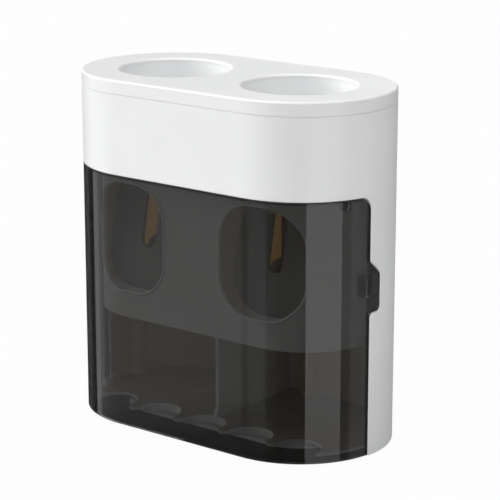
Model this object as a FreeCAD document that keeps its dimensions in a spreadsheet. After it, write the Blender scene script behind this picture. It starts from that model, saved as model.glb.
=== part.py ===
"""Toothpaste dispenser: two tube wells in the lid, two press plates behind windows, brush bays below,
and a smoked cover that swings on its left edge. Millimetres, +Z up, origin at the bottom centre."""
import FreeCAD, Part
import math
import operator
import os
from types import SimpleNamespace

import Sketcher
from FreeCAD import Placement, Rotation, Vector

# Driving dimensions: name, value, meaning
SIZES = (
    ("body_width", 200, "width over both round ends"),
    ("body_depth", 108, "depth; each end is a half circle of this diameter"),
    ("body_height", 205, "height over the lid"),
    ("wall", 2.6, "wall of the housing"),
    ("opening_edge", 0.8, "rounding of the housing's edge round the cover"),
    ("lid_height", 8, "height of the lid's rim"),
    ("lid_seam", 0.15, "open line between lid and housing"),
    ("lid_fit", 0.4, "room between the lid's skirt and the housing"),
    ("lid_edge", 1.2, "rounding of the lid's upper edge"),
    ("skirt_depth", 6, "how far the lid's skirt reaches into the housing"),
    ("skirt_wall", 1.8, "wall of the lid's skirt"),
    ("unit_share", 0.225, "middle of a well, its pump and its slot, as a share of the width"),
    ("well_diameter", 65, "inside of a tube well"),
    ("well_depth", 45, "depth of a tube well below the lid's top"),
    ("well_wall", 1.8, "wall and floor of a tube well"),
    ("well_edge", 1.5, "rounding of a well's rim"),
    ("band_height", 47, "white band between the cover and the lid"),
    ("cover_wall", 2.4, "wall of the smoked cover"),
    ("cover_gap", 0.5, "open line round the cover"),
    ("cover_lift", 0.6, "cover's lower edge above the floor"),
    ("cover_setback", 7.5, "cover's side edges in front of the middle plane"),
    ("cover_corner", 7, "rounding of the cover's upper right corner"),
    ("tab_reach", 9, "how far the finger tab stands out of the cover's edge"),
    ("tab_drop", 37, "upper end of the finger tab below the white band"),
    ("tab_height", 29, "height of the finger tab"),
    ("tab_slope", 8, "height of the tab's sloping shoulder"),
    ("tab_corner", 3, "rounding of the tab's corners"),
    ("nub_size", 5, "width and height of the stop nub inside the cover's upper edge"),
    ("nub_sink", 1.25, "how far the nub's round sinks into the cover's wall"),
    ("nub_angle", 64.5, "plan angle of the stop nub round the right end"),
    ("barrel_radius", 3.4, "cover's hinge barrel and the housing's lugs"),
    ("barrel_inset", 0.2, "barrel behind the outer skin"),
    ("lug_height", 8, "height of a hinge lug"),
    ("lug_gap", 0.4, "gap between barrel and lug"),
    ("lug_reach", 8, "hinge lug's arm behind the hinge axis"),
    ("lug_arm_outer", 2.7, "hinge lug's arm outside the hinge axis"),
    ("lug_arm_inner", 1.4, "hinge lug's arm inside the hinge axis"),
    ("hinge_pin_radius", 1.5, "steel pins of the cover's hinge"),
    ("hinge_pin_length", 18, "length of a hinge pin"),
    ("hinge_pin_recess", 1, "end of a hinge pin inside its lug's outer face"),
    ("running_fit", 0.06, "radial room of a pin that turns in its bore"),
    ("seat_fit", 0.02, "radial room of a pin or plug that is seated in its bore"),
    ("joint_gap", 0.15, "room between fixed pieces side by side"),
    ("panel_setback", 13.3, "front panel behind the outer skin"),
    ("panel_stretch", 4, "panel's straight part beyond the body's, at each end"),
    ("panel_wall", 2.5, "wall of the front panel"),
    ("panel_height", 87.5, "front panel with the lower deck, below the white band"),
    ("web_back", 6, "rear face of the panel's end webs behind the middle plane"),
    ("deck_wall", 2.5, "thickness of both decks"),
    ("window_share", 0.273, "width of a window as a share of the body's width"),
    ("window_height", 65.5, "height of a window"),
    ("window_drop", 6.5, "upper edge of a window below the upper deck"),
    ("corner_share", 0.403, "corner rounding of a window as a share of its width"),
    ("collar_wall", 2, "wall of a window's collar"),
    ("collar_back", 12, "rear end of a collar in front of the middle plane, before the plate's room is cut"),
    ("plate_tilt", 11, "lean of a press plate at rest, degrees"),
    ("plate_wall", 2.4, "thickness of a press plate"),
    ("plate_margin", 1.5, "how far a press plate laps its window"),
    ("plate_room", 0.8, "room round a moving press plate"),
    ("plate_length", 71, "press plate below its pivot"),
    ("plate_rise", 1.75, "press plate above its pivot"),
    ("plate_slot_width", 10.6, "width of a press plate's slot"),
    ("plate_slot_length", 46, "slot below the pivot, rounded end included"),
    ("plate_slot_flat", 0.3, "flat between the two roundings at the slot's lower end"),
    ("pivot_setback", 14.6, "press plate's pivot in front of the middle plane"),
    ("pivot_drop", 3.5, "press plate's pivot below the upper deck"),
    ("knuckle_radius", 2.9, "press plate's hinge knuckles"),
    ("knuckle_length", 9, "length of a hinge knuckle"),
    ("ear_wall", 2.5, "thickness of a hinge ear under the upper deck"),
    ("ear_gap", 0.5, "side room between press plate and ear"),
    ("ear_room", 3.7, "room between a hinge ear and the panel's round end"),
    ("ear_width", 10, "depth of a hinge ear, front to back"),
    ("ear_drop", 7.5, "hinge ear below the upper deck"),
    ("press_pin_radius", 1.2, "stub pins of a press plate"),
    ("spring_wire", 0.8, "wire of a return spring"),
    ("spring_length", 5, "length of a return spring's coil"),
    ("spring_leg", 10, "length of a return spring's leg"),
    ("pump_drop", 54, "pump's middle below the upper deck"),
    ("pump_bore", 19, "bore of a pump"),
    ("pump_wall", 2.4, "wall of a pump"),
    ("pump_front", 13, "open end of a pump in front of the middle plane"),
    ("pump_back", 13, "closed end of a pump behind the middle plane"),
    ("manifold_width", 30, "width of a pump's inlet block"),
    ("manifold_depth", 22, "depth of a pump's inlet block, front to back"),
    ("pump_screw_offset", 12.5, "pump's screws beside the middle of its well"),
    ("manifold_height", 8, "height of a pump's inlet block"),
    ("inlet_spacing", 16, "distance between a pump's two inlet ducts"),
    ("duct_bore", 4, "bore of a pump's ducts"),
    ("duct_wall", 1.5, "wall of a pump's ducts"),
    ("spout_drop", 10.5, "outlet tube's middle below the upper deck"),
    ("spout_tube_radius", 2.7, "outside of the outlet tube that passes the slot"),
    ("spout_tube_bore", 3.2, "bore of the outlet tube"),
    ("spout_reach", 23, "end of the outlet tube in front of the middle plane"),
    ("spout_sleeve", 0.9, "wall of the nozzle's sleeve"),
    ("spout_length", 4, "nozzle's tip below the outlet tube's middle"),
    ("spout_root_radius", 3.2, "nozzle's tip where it leaves the sleeve"),
    ("spout_tip_radius", 2.05, "nozzle's tip at its end"),
    ("rod_radius", 3.5, "piston rod"),
    ("rod_gap", 0.2, "room between the piston rod and the press plate at rest"),
    ("piston_face", 9, "piston's rear face before the middle plane"),
    ("piston_length", 4, "length of the piston's head"),
    ("piston_gap", 0.35, "room between the piston's head and the bore"),
    ("seal_length", 1.8, "length of the piston's seal"),
    ("seal_depth", 1.6, "depth of the piston's seal groove"),
    ("socket_radius", 8.5, "stem of a tube socket"),
    ("socket_mouth", 7, "tube socket's upper bore"),
    ("socket_throat", 5.2, "tube socket's lower bore"),
    ("socket_flange", 9.6, "tube socket's flange"),
    ("socket_lip", 1.8, "wall of a tube socket's rim"),
    ("socket_rise", 8, "tube socket above the upper deck"),
    ("socket_drop", 3, "tube socket's stem below the upper deck"),
    ("flange_height", 1.6, "thickness of the socket's flange"),
    ("socket_room", 1, "room between a socket and the hole in its well's floor"),
    ("valve_height", 1.2, "thickness of an inlet valve's flap"),
    ("rack_wall", 5, "thickness of the brush rack, which stands on the floor"),
    ("rack_setback", 5.5, "brush rack's round front behind the outer skin"),
    ("rack_reach", 35.7, "tips of the brush rack in front of the middle plane"),
    ("notch_reach", 22, "middle of the outermost notch beyond the straight part"),
    ("notch_tip", 7, "width of the tip between two brush notches"),
    ("notch_depth", 18.5, "depth of a brush notch behind the tips"),
    ("tip_wall", 1.8, "thickness of the rack's overhanging front"),
    ("tip_root", 24, "front of the rack's core, where the overhang starts"),
    ("mat_wall", 0.8, "thickness of the drip mat under the overhang"),
    ("mat_gap", 1.2, "room between the drip mat and the cover"),
    ("divider_wall", 2.5, "thickness of the bay divider"),
    ("divider_setback", 17.5, "divider's front edge in front of the middle plane"),
    ("divider_foot", 6, "hollow rounding at the divider's foot"),
    ("divider_toe", 3, "how far the divider's foot stands out in front"),
    ("post_radius", 5, "screw posts inside the housing"),
    ("post_inset", 3.5, "middle of a screw post inside the housing's inner wall"),
    ("back_post_offset", 18, "rear screw posts beside the divider"),
    ("end_post_angle", 20, "plan angle of the end screw posts behind the middle plane"),
    ("boss_height", 14, "screw bosses above the upper deck"),
    ("panel_boss_radius", 4, "screw bosses behind the front panel"),
    ("panel_boss_sink", 0.6, "how far a panel boss sinks into the panel"),
    ("panel_boss_height", 11, "height of the panel's screw bosses"),
    ("screw_radius", 1.25, "shank of every screw"),
    ("screw_length", 10, "shank length of every screw"),
    ("screw_room", 0.4, "depth of a screw hole beyond the screw's end"),
    ("screw_head_radius", 2.5, "head of every screw"),
    ("screw_head_height", 1.6, "head height of every screw"),
    ("wall_hole_radius", 2.5, "holes for the wall screws"),
    ("wall_hole_spacing", 76, "distance between the wall screws"),
    ("wall_hole_height", 40, "wall screws above the floor"),
    ("magnet_width", 3, "catch magnets, along the width"),
    ("magnet_length", 2.4, "catch magnets, front to back"),
    ("magnet_height", 10, "catch magnets, upright"),
    ("magnet_gap", 0.8, "gap between the two magnets"),
    ("magnet_front", 3.4, "meeting line of the magnets in front of the middle plane"),
    ("holder_wall", 1, "wall of the magnets' holders"),
    ("holder_length", 4.8, "cover's magnet holder, front to back"),
)

NOTCH_STEPS = (-2, -1, 0, 1, 2)
SIDES = {"left": -1, "right": 1}

# How far cutting shapes reach past what they cut, and how near two lengths count as equal
BEYOND = 12.0
NEAR = 1e-3

doc = FreeCAD.newDocument("toothpaste_dispenser")
sheet = doc.addObject("Spreadsheet::Sheet", "sizes")


class Size:
    """A length or angle: its value, and the formula over the sheet's cells that gives it."""

    def __init__(self, value, formula):
        self.value = value
        self.formula = formula

    def __add__(self, other):
        return combined(self, other, "+", operator.add)

    def __radd__(self, other):
        return combined(other, self, "+", operator.add)

    def __sub__(self, other):
        return combined(self, other, "-", operator.sub)

    def __rsub__(self, other):
        return combined(other, self, "-", operator.sub)

    def __mul__(self, other):
        return combined(self, other, "*", operator.mul)

    def __rmul__(self, other):
        return combined(other, self, "*", operator.mul)

    def __truediv__(self, other):
        return combined(self, other, "/", operator.truediv)

    def __neg__(self):
        return combined(0, self, "-", operator.sub)


def as_size(number):
    return number if isinstance(number, Size) else Size(float(number), repr(float(number)))


def combined(left, right, sign, function):
    left = as_size(left)
    right = as_size(right)
    return Size(function(left.value, right.value), "(%s %s %s)" % (left.formula, sign, right.formula))


def root(size):
    return Size(math.sqrt(size.value), "sqrt(%s)" % size.formula)


def sine(angle):
    return Size(math.sin(math.radians(angle.value)), "sin(%s)" % angle.formula)


def cosine(angle):
    return Size(math.cos(math.radians(angle.value)), "cos(%s)" % angle.formula)


def tangent(angle):
    return Size(math.tan(math.radians(angle.value)), "tan(%s)" % angle.formula)


def fill_sheet():
    """Writes the driving dimensions into the sheet and gives them back by name."""
    named = {}
    for row, (name, value, meaning) in enumerate(SIZES, start=1):
        sheet.set("A%d" % row, name)
        sheet.set("B%d" % row, str(value))
        sheet.set("C%d" % row, meaning)
        sheet.setAlias("B%d" % row, name)
        named[name] = Size(float(value), "sizes." + name)
    doc.recompute()
    return SimpleNamespace(**named)


size = fill_sheet()

# Sizes that follow from the driving ones
half_straight = (size.body_width - size.body_depth) / 2
end_radius = size.body_depth / 2
inner_radius = end_radius - size.wall
seam_level = size.body_height - size.lid_height
cover_height = seam_level - size.band_height
deck_level = cover_height
deck_top = deck_level + size.deck_wall
panel_low = cover_height - size.panel_height
panel_half = half_straight + size.panel_stretch
panel_radius = end_radius - size.panel_setback
panel_inner = panel_radius - size.panel_wall
unit_offset = size.unit_share * size.body_width
well_radius = size.well_diameter / 2
well_floor = size.body_height - size.well_depth
tab_high = cover_height - size.tab_drop
tab_low = tab_high - size.tab_height
window_width = size.window_share * size.body_width
window_corner = size.corner_share * window_width
window_high = deck_level - size.window_drop
window_low = window_high - size.window_height
plate_half = window_width / 2 + size.plate_margin
ear_reach = plate_half + size.ear_gap
ear_front = size.pivot_setback + size.ear_width / 2
ear_limit = panel_half + root(panel_inner * panel_inner - ear_front * ear_front) - size.ear_room
window_middle = ear_limit - size.ear_wall - ear_reach
pivot_level = deck_level - size.pivot_drop
pump_level = deck_level - size.pump_drop
spout_level = deck_level - size.spout_drop
pump_radius = size.pump_bore / 2 + size.pump_wall
manifold_low = deck_level - size.manifold_height
cavity_floor = manifold_low + size.pump_wall
duct_radius = size.duct_bore / 2 + size.duct_wall
barrel_low = size.lug_height + size.lug_gap
barrel_high = cover_height - barrel_low
hinge_y = -(size.cover_setback + size.barrel_radius)
barrel_orbit = end_radius - size.barrel_radius - size.barrel_inset
hinge_x = -(half_straight + root(barrel_orbit * barrel_orbit - hinge_y * hinge_y))
post_orbit = inner_radius - size.post_inset
lower_deck_top = panel_low + size.deck_wall
panel_boss_orbit = panel_inner - size.panel_boss_radius + size.panel_boss_sink
screw_hole = size.screw_radius + size.running_fit
screw_hole_depth = size.screw_length + size.screw_room
knuckle_inner = plate_half - size.knuckle_length
spring_notch = size.spring_length + 2 * size.ear_gap
spring_inner = knuckle_inner - spring_notch
rod_arm = size.pump_drop - size.pivot_drop - size.rod_radius
rod_front = (size.pivot_setback + rod_arm * tangent(size.plate_tilt) - size.rod_gap
             - size.plate_wall / 2 / cosine(size.plate_tilt))
cover_inside = end_radius - size.cover_wall
magnet_low = (tab_low + tab_high - size.magnet_height) / 2
magnet_back = -(size.magnet_front + size.magnet_gap / 2)
magnet_face = -(size.magnet_front - size.magnet_gap / 2)
holder_front = magnet_back - size.holder_length
magnet_x = (half_straight + root(cover_inside * cover_inside - holder_front * holder_front)
            - size.magnet_width - size.holder_wall)
magnet_end = magnet_x + size.magnet_width
magnet_high = magnet_low + size.magnet_height
notch_pitch = (half_straight + size.notch_reach) / max(NOTCH_STEPS)
notch_radius = (notch_pitch - size.notch_tip) / 2

nodes = {}


def bind(thing, **properties):
    """Ties properties of an object to formulas over the sheet."""
    for name, value in properties.items():
        thing.setExpression(name, as_size(value).formula)


def place(thing, x, y, z, axis=Vector(0, 0, 1), turn=0):
    """Puts an object at a point, turned about an axis by fixed degrees or by a Size."""
    turn = as_size(turn)
    point = [as_size(value) for value in (x, y, z)]
    thing.Placement = Placement(Vector(*[value.value for value in point]), Rotation(axis, turn.value))
    for letter, value in zip("xyz", point):
        thing.setExpression("Placement.Base." + letter, value.formula)
    if "sizes." in turn.formula:
        thing.setExpression("Placement.Rotation.Angle", turn.formula)
    return thing


def block(name, low, high):
    """A box between two corners."""
    box = doc.addObject("Part::Box", name)
    bind(box, Length=high[0] - low[0], Width=high[1] - low[1], Height=high[2] - low[2])
    return place(box, *low)


AXES = {
    "x": (Vector(0, 1, 0), 90),
    "y": (Vector(1, 0, 0), -90),
    "z": (Vector(0, 0, 1), 0),
    "down": (Vector(1, 0, 0), 180),
}


def rod(name, radius, start, length, axis="z"):
    """A round bar from a point along an axis."""
    cylinder = doc.addObject("Part::Cylinder", name)
    bind(cylinder, Radius=radius, Height=length)
    return place(cylinder, *start, *AXES[axis])


def taper(name, near_radius, far_radius, start, length, axis="z"):
    """A round bar whose radius changes along its axis."""
    cone = doc.addObject("Part::Cone", name)
    bind(cone, Radius1=near_radius, Radius2=far_radius, Height=length)
    return place(cone, *start, *AXES[axis])


def fused(name, *pieces):
    whole = doc.addObject("Part::MultiFuse", name)
    whole.Shapes = list(pieces)
    whole.Refine = True
    return whole


def shared(name, *pieces):
    overlap = doc.addObject("Part::MultiCommon", name)
    overlap.Shapes = list(pieces)
    overlap.Refine = True
    return overlap


def cut(name, base, *tools):
    rest = doc.addObject("Part::Cut", name)
    rest.Base = base
    rest.Tool = tools[0] if len(tools) == 1 else fused(name + "_tools", *tools)
    rest.Refine = True
    return rest


def group(name, solids):
    whole = doc.addObject("Part::Compound", name)
    whole.Links = solids
    return whole


def keep(name, thing):
    """Names a finished sub-part."""
    thing.Label = name
    nodes[name] = thing
    return thing


def new_body(name):
    return doc.addObject("PartDesign::Body", name)


def new_sketch(body, plane, lift=0):
    """A sketch on one of the body's own planes, lifted along the plane's normal."""
    sketch = body.newObject("Sketcher::SketchObject", body.Name + "_sketch")
    support = [feature for feature in body.Origin.OriginFeatures if feature.Role == plane]
    sketch.AttachmentSupport = [(support[0], "")]
    sketch.MapMode = "FlatFace"
    lift = as_size(lift)
    sketch.AttachmentOffset = Placement(Vector(0, 0, lift.value), Rotation())
    sketch.setExpression("AttachmentOffset.Base.z", lift.formula)
    return sketch


def dimension(sketch, kind, *where_and_size):
    """A driving constraint whose value follows the sheet."""
    value = as_size(where_and_size[-1])
    index = sketch.addConstraint(Sketcher.Constraint(kind, *where_and_size[:-1], value.value))
    sketch.setExpression("Constraints[%d]" % index, value.formula)


def fix_point(sketch, geometry, spot, x, y):
    dimension(sketch, "DistanceX", -1, 1, geometry, spot, x)
    dimension(sketch, "DistanceY", -1, 1, geometry, spot, y)


def draw_circle(sketch, x, y, radius):
    x = as_size(x)
    y = as_size(y)
    radius = as_size(radius)
    ring = Part.Circle(Vector(x.value, y.value, 0), Vector(0, 0, 1), radius.value)
    index = sketch.addGeometry(ring, False)
    fix_point(sketch, index, 3, x, y)
    dimension(sketch, "Radius", index, radius)


def draw_stadium(sketch, half, radius):
    """Two straight sides joined by half circles about (half, 0) and (-half, 0)."""
    arcs = []
    for sign in (1, -1):
        middle = Vector(sign * half.value, 0, 0)
        ends = [middle + Vector(0, -sign * radius.value, 0), middle + Vector(0, sign * radius.value, 0)]
        arc = Part.Arc(ends[0], middle + Vector(sign * radius.value, 0, 0), ends[1])
        arcs.append(sketch.addGeometry(arc, False))
    lines = []
    for sign in (1, -1):
        start = Vector(sign * half.value, sign * radius.value, 0)
        lines.append(sketch.addGeometry(Part.LineSegment(start, Vector(-start.x, start.y, 0)), False))
    for index in (0, 1):
        sketch.addConstraint(Sketcher.Constraint("Tangent", arcs[index], 2, lines[index], 1))
        sketch.addConstraint(Sketcher.Constraint("Tangent", lines[index], 2, arcs[1 - index], 1))
        fix_point(sketch, arcs[index], 3, half if index == 0 else -half, 0)
    dimension(sketch, "Radius", arcs[0], radius)
    sketch.addConstraint(Sketcher.Constraint("Equal", arcs[0], arcs[1]))


def draw_outline(sketch, corners):
    """A closed outline through corners (x, y, rounding); a rounding of 0 leaves the corner sharp."""
    corners = [tuple(as_size(value) for value in corner) for corner in corners]
    points = [Vector(x.value, y.value, 0) for x, y, rounding in corners]
    count = len(corners)
    starts = []
    ends = []
    arcs = {}
    for index, (x, y, rounding) in enumerate(corners):
        here = points[index]
        before = (points[index - 1] - here).normalize()
        after = (points[(index + 1) % count] - here).normalize()
        half_angle = before.getAngle(after) / 2
        reach = rounding.value / math.tan(half_angle)
        starts.append(here + before * reach)
        ends.append(here + after * reach)
        if rounding.value > 0:
            bisector = (before + after).normalize()
            middle = here + bisector * (rounding.value / math.sin(half_angle) - rounding.value)
            arcs[index] = sketch.addGeometry(Part.Arc(starts[index], middle, ends[index]), False)
    lines = []
    for index in range(count):
        side = Part.LineSegment(ends[index], starts[(index + 1) % count])
        lines.append(sketch.addGeometry(side, False))
    for index, (x, y, rounding) in enumerate(corners):
        mark = sketch.addGeometry(Part.Point(points[index]), True)
        fix_point(sketch, mark, 1, x, y)
        if index not in arcs:
            sketch.addConstraint(Sketcher.Constraint("Coincident", lines[index - 1], 2, mark, 1))
            sketch.addConstraint(Sketcher.Constraint("Coincident", lines[index], 1, mark, 1))
            continue
        arc = arcs[index]
        first = 1 if sketch.getPoint(arc, 1).isEqual(starts[index], 1e-6) else 2
        sketch.addConstraint(Sketcher.Constraint("PointOnObject", mark, 1, lines[index - 1]))
        sketch.addConstraint(Sketcher.Constraint("PointOnObject", mark, 1, lines[index]))
        sketch.addConstraint(Sketcher.Constraint("Tangent", lines[index - 1], 2, arc, first))
        sketch.addConstraint(Sketcher.Constraint("Tangent", arc, 3 - first, lines[index], 1))
        dimension(sketch, "Radius", arc, rounding)


def box_corners(low_x, low_y, high_x, high_y, rounding=0):
    return [(low_x, low_y, rounding), (high_x, low_y, rounding),
            (high_x, high_y, rounding), (low_x, high_y, rounding)]


def add_feature(kind, body, sketch, length, reverse):
    feature = body.newObject("PartDesign::" + kind, body.Name + "_" + kind.lower())
    feature.Profile = sketch
    feature.Length = as_size(length).value
    bind(feature, Length=length)
    feature.Reversed = reverse
    sketch.Visibility = False
    return feature


def pad(body, sketch, length, reverse=False):
    """Adds material along the sketch's normal, or against it."""
    return add_feature("Pad", body, sketch, length, reverse)


def pocket(body, sketch, depth, along=False):
    """Removes material against the sketch's normal, or along it."""
    return add_feature("Pocket", body, sketch, depth, along)


def rounded(body, radius, wanted):
    """Rounds the edges of the body's last feature that the test picks."""
    doc.recompute()
    base = body.Tip
    picked = ["Edge%d" % number for number, edge in enumerate(base.Shape.Edges, start=1) if wanted(edge)]
    fillet = body.newObject("PartDesign::Fillet", body.Name + "_fillet")
    fillet.Base = (base, picked)
    bind(fillet, Radius=radius)
    return fillet


def stadium_solid(name, radius, low, high, half=half_straight):
    """A solid with the body's plan, drawn in or let out to a radius."""
    body = new_body(name)
    sketch = new_sketch(body, "XY_Plane", low)
    draw_stadium(sketch, half, radius)
    pad(body, sketch, high - low)
    return body


def add_posts(body, spots, radius, low, high):
    """Upright round posts at plan points."""
    for x, y in spots:
        sketch = new_sketch(body, "XY_Plane", low)
        draw_circle(sketch, x, y, radius)
        pad(body, sketch, high - low)


def drill(body, spots, radius, level, depth, up):
    """Upright round holes from a level, upwards or downwards."""
    for x, y in spots:
        sketch = new_sketch(body, "XY_Plane", level)
        draw_circle(sketch, x, y, radius)
        pocket(body, sketch, depth, along=up)


rack_posts = [(sign * size.back_post_offset, post_orbit) for sign in SIDES.values()]
rack_posts += [(sign * (half_straight + post_orbit * cosine(size.end_post_angle)),
                post_orbit * sine(size.end_post_angle)) for sign in SIDES.values()]
deck_posts = [(as_size(0), -post_orbit), (as_size(0), post_orbit)]
deck_posts += [(sign * (half_straight + post_orbit), as_size(0)) for sign in SIDES.values()]
panel_posts = [(as_size(0), -panel_boss_orbit)]
panel_posts += [(sign * (panel_half + panel_boss_orbit), as_size(0)) for sign in SIDES.values()]


def tab_side(grow, top):
    """The cover's right edge in side view, from the floor up and along its upper edge, let out by grow."""
    edge = grow - size.cover_setback
    tab_end = edge + size.tab_reach
    return [(edge, -BEYOND, 0),
            (edge, tab_low - grow, size.tab_corner),
            (tab_end, tab_low - grow, size.tab_corner),
            (tab_end, tab_high - size.tab_slope + grow, size.tab_corner),
            (edge, tab_high + grow, size.tab_corner),
            (edge, top, size.cover_corner),
            (-(end_radius + BEYOND), top, 0)]


def skin_distance(point):
    """Plan distance of a point from the straight line between the middles of the two round ends."""
    along = min(max(point.x, -half_straight.value), half_straight.value)
    return math.hypot(point.x - along, point.y)


def is_opening_edge(edge):
    """Picks the housing's outer edges round the cover: on the skin, apart from the ends and smooth seams."""
    box = edge.BoundBox
    if box.ZMax < NEAR or box.ZMin > cover_height.value + NEAR:
        return False
    first, last = edge.ParameterRange
    points = [edge.valueAt(first), edge.valueAt((first + last) / 2), edge.valueAt(last)]
    on_skin = all(abs(skin_distance(point) - end_radius.value) < NEAR for point in points)
    at_back = box.YMax > end_radius.value - NEAR
    is_smooth = box.XLength < NEAR and abs(abs(box.Center.x) - half_straight.value) < NEAR
    return on_skin and not at_back and not is_smooth


def make_housing():
    """White shell: band all round the top, walls round the back and the sides, posts inside."""
    body = new_body("housing_shell")
    outer = new_sketch(body, "XY_Plane")
    draw_stadium(outer, half_straight, end_radius)
    pad(body, outer, seam_level - size.lid_seam)
    inner = new_sketch(body, "XY_Plane")
    draw_stadium(inner, half_straight, inner_radius)
    pocket(body, inner, seam_level, along=True)

    half_width = size.body_width / 2 + BEYOND
    front = -(end_radius + BEYOND)
    right = new_sketch(body, "YZ_Plane")
    draw_outline(right, tab_side(size.cover_gap, cover_height) + [(front, -BEYOND, 0)])
    pocket(body, right, half_width, along=True)
    left = new_sketch(body, "YZ_Plane")
    left_edge = hinge_y + size.barrel_radius + size.cover_gap
    draw_outline(left, box_corners(front, -BEYOND, left_edge, cover_height))
    pocket(body, left, half_width)

    rounded(body, size.opening_edge, is_opening_edge)

    for low in (as_size(0), cover_height - size.lug_height):
        lug = new_sketch(body, "XY_Plane", low)
        draw_circle(lug, hinge_x, hinge_y, size.barrel_radius)
        pad(body, lug, size.lug_height)
        arm = new_sketch(body, "XY_Plane", low)
        draw_outline(arm, box_corners(hinge_x - size.lug_arm_outer, hinge_y,
                                      hinge_x + size.lug_arm_inner, hinge_y + size.lug_reach))
        pad(body, arm, size.lug_height)
        bore = new_sketch(body, "XY_Plane", low)
        draw_circle(bore, hinge_x, hinge_y, size.hinge_pin_radius + size.seat_fit)
        pocket(body, bore, size.lug_height, along=True)

    add_posts(body, rack_posts, size.post_radius, size.rack_wall, panel_low)
    drill(body, rack_posts, screw_hole, size.rack_wall, screw_hole_depth, up=True)
    add_posts(body, deck_posts, size.post_radius, deck_top, deck_top + size.boss_height)
    drill(body, deck_posts, screw_hole, deck_top, screw_hole_depth, up=True)
    drill(body, rack_posts[:2], screw_hole, panel_low, screw_hole_depth, up=False)

    for sign in SIDES.values():
        hole = new_sketch(body, "XZ_Plane", -(end_radius + BEYOND))
        draw_circle(hole, sign * size.wall_hole_spacing / 2, size.wall_hole_height, size.wall_hole_radius)
        pocket(body, hole, 2 * BEYOND, along=True)
    return keep("housing_shell", body)


def make_lid():
    """White cap with a skirt inside the housing and two round mouths for the tubes."""
    body = new_body("top_lid")
    rim = new_sketch(body, "XY_Plane", seam_level)
    draw_stadium(rim, half_straight, end_radius)
    pad(body, rim, size.lid_height)
    skirt_radius = inner_radius - size.lid_fit
    skirt = new_sketch(body, "XY_Plane", seam_level)
    draw_stadium(skirt, half_straight, skirt_radius)
    pad(body, skirt, size.skirt_depth, reverse=True)
    hollow_low = seam_level - size.skirt_depth
    hollow = new_sketch(body, "XY_Plane", hollow_low)
    draw_stadium(hollow, half_straight, skirt_radius - size.skirt_wall)
    pocket(body, hollow, size.skirt_depth + size.lid_height - size.wall, along=True)

    wells = [(sign * unit_offset, as_size(0)) for sign in SIDES.values()]
    drill(body, wells, well_radius, size.body_height, size.lid_height, up=False)

    top = size.body_height.value

    def on_top(edge):
        box = edge.BoundBox
        return abs(box.ZMin - top) < NEAR and abs(box.ZMax - top) < NEAR

    def is_rim(edge):
        box = edge.BoundBox
        return on_top(edge) and max(-box.YMin, box.YMax) > end_radius.value - NEAR

    def is_mouth(edge):
        return on_top(edge) and abs(edge.Length - math.pi * size.well_diameter.value) < NEAR

    rounded(body, size.lid_edge, is_rim)
    rounded(body, size.well_edge, is_mouth)
    return keep("top_lid", body)


def make_cup(name, sign):
    """Cup under one of the lid's mouths: the rest of the well, with a hole for the socket in its floor."""
    body = new_body("tube_cup_" + name)
    spot = [(sign * unit_offset, as_size(0))]
    cup_top = size.body_height - size.wall
    add_posts(body, spot, well_radius + size.well_wall, well_floor - size.well_wall, cup_top)
    drill(body, spot, well_radius, cup_top, cup_top - well_floor, up=False)
    drill(body, spot, size.socket_flange + size.socket_room, well_floor, size.well_wall, up=False)
    keep("tube_cup_" + name, body)


def make_cover():
    """Smoked shell round the front and both ends, with a hinge barrel, a finger tab and a magnet holder."""
    body = new_body("front_cover")
    top = cover_height - size.cover_gap
    outer = new_sketch(body, "XY_Plane", size.cover_lift)
    draw_stadium(outer, half_straight, end_radius)
    pad(body, outer, top - size.cover_lift)
    inner = new_sketch(body, "XY_Plane", size.cover_lift)
    draw_stadium(inner, half_straight, cover_inside)
    pocket(body, inner, top, along=True)

    half_width = size.body_width / 2 + BEYOND
    back = end_radius + BEYOND
    right = new_sketch(body, "YZ_Plane")
    edge = tab_side(as_size(0), top)
    draw_outline(right, edge + [(-back, top + BEYOND, 0), (back, top + BEYOND, 0), (back, -BEYOND, 0)])
    pocket(body, right, half_width, along=True)
    left = new_sketch(body, "YZ_Plane")
    notch_y = hinge_y - size.barrel_radius - size.cover_gap
    draw_outline(left, [(back, -BEYOND, 0), (notch_y, -BEYOND, 0), (notch_y, barrel_low, 0),
                        (hinge_y, barrel_low, 0), (hinge_y, barrel_high, 0), (notch_y, barrel_high, 0),
                        (notch_y, top + BEYOND, 0), (back, top + BEYOND, 0)])
    pocket(body, left, half_width)

    add_posts(body, [(hinge_x, hinge_y)], size.barrel_radius, barrel_low, barrel_high)
    drill(body, [(hinge_x, hinge_y)], size.hinge_pin_radius + size.running_fit, barrel_low,
          barrel_high - barrel_low, up=True)

    nub = new_sketch(body, "XY_Plane", top)
    nub_radius = size.nub_size / 2
    nub_orbit = cover_inside + size.nub_sink - nub_radius
    nub_x = half_straight + nub_orbit * sine(size.nub_angle)
    nub_y = -nub_orbit * cosine(size.nub_angle)
    draw_circle(nub, nub_x, nub_y, nub_radius)
    pad(body, nub, size.nub_size, reverse=True)

    holder = new_sketch(body, "XY_Plane", magnet_low - size.holder_wall)
    holder_edge = magnet_end + size.holder_wall + size.cover_wall / 2
    draw_outline(holder, box_corners(magnet_x - size.holder_wall, holder_front, holder_edge, magnet_back))
    pad(body, holder, size.magnet_height + 2 * size.holder_wall)
    seat = new_sketch(body, "XY_Plane", magnet_low - size.seat_fit)
    seat_end = magnet_back - size.magnet_length - size.seat_fit
    draw_outline(seat, box_corners(magnet_x - size.seat_fit, seat_end,
                                   magnet_end + size.seat_fit, magnet_back + BEYOND))
    pocket(body, seat, size.magnet_height + 2 * size.seat_fit, along=True)
    keep("front_cover", body)

    low = (magnet_x, magnet_back - size.magnet_length, magnet_low)
    keep("cover_magnet", block("cover_magnet", low, (magnet_end, magnet_back, magnet_high)))


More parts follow.
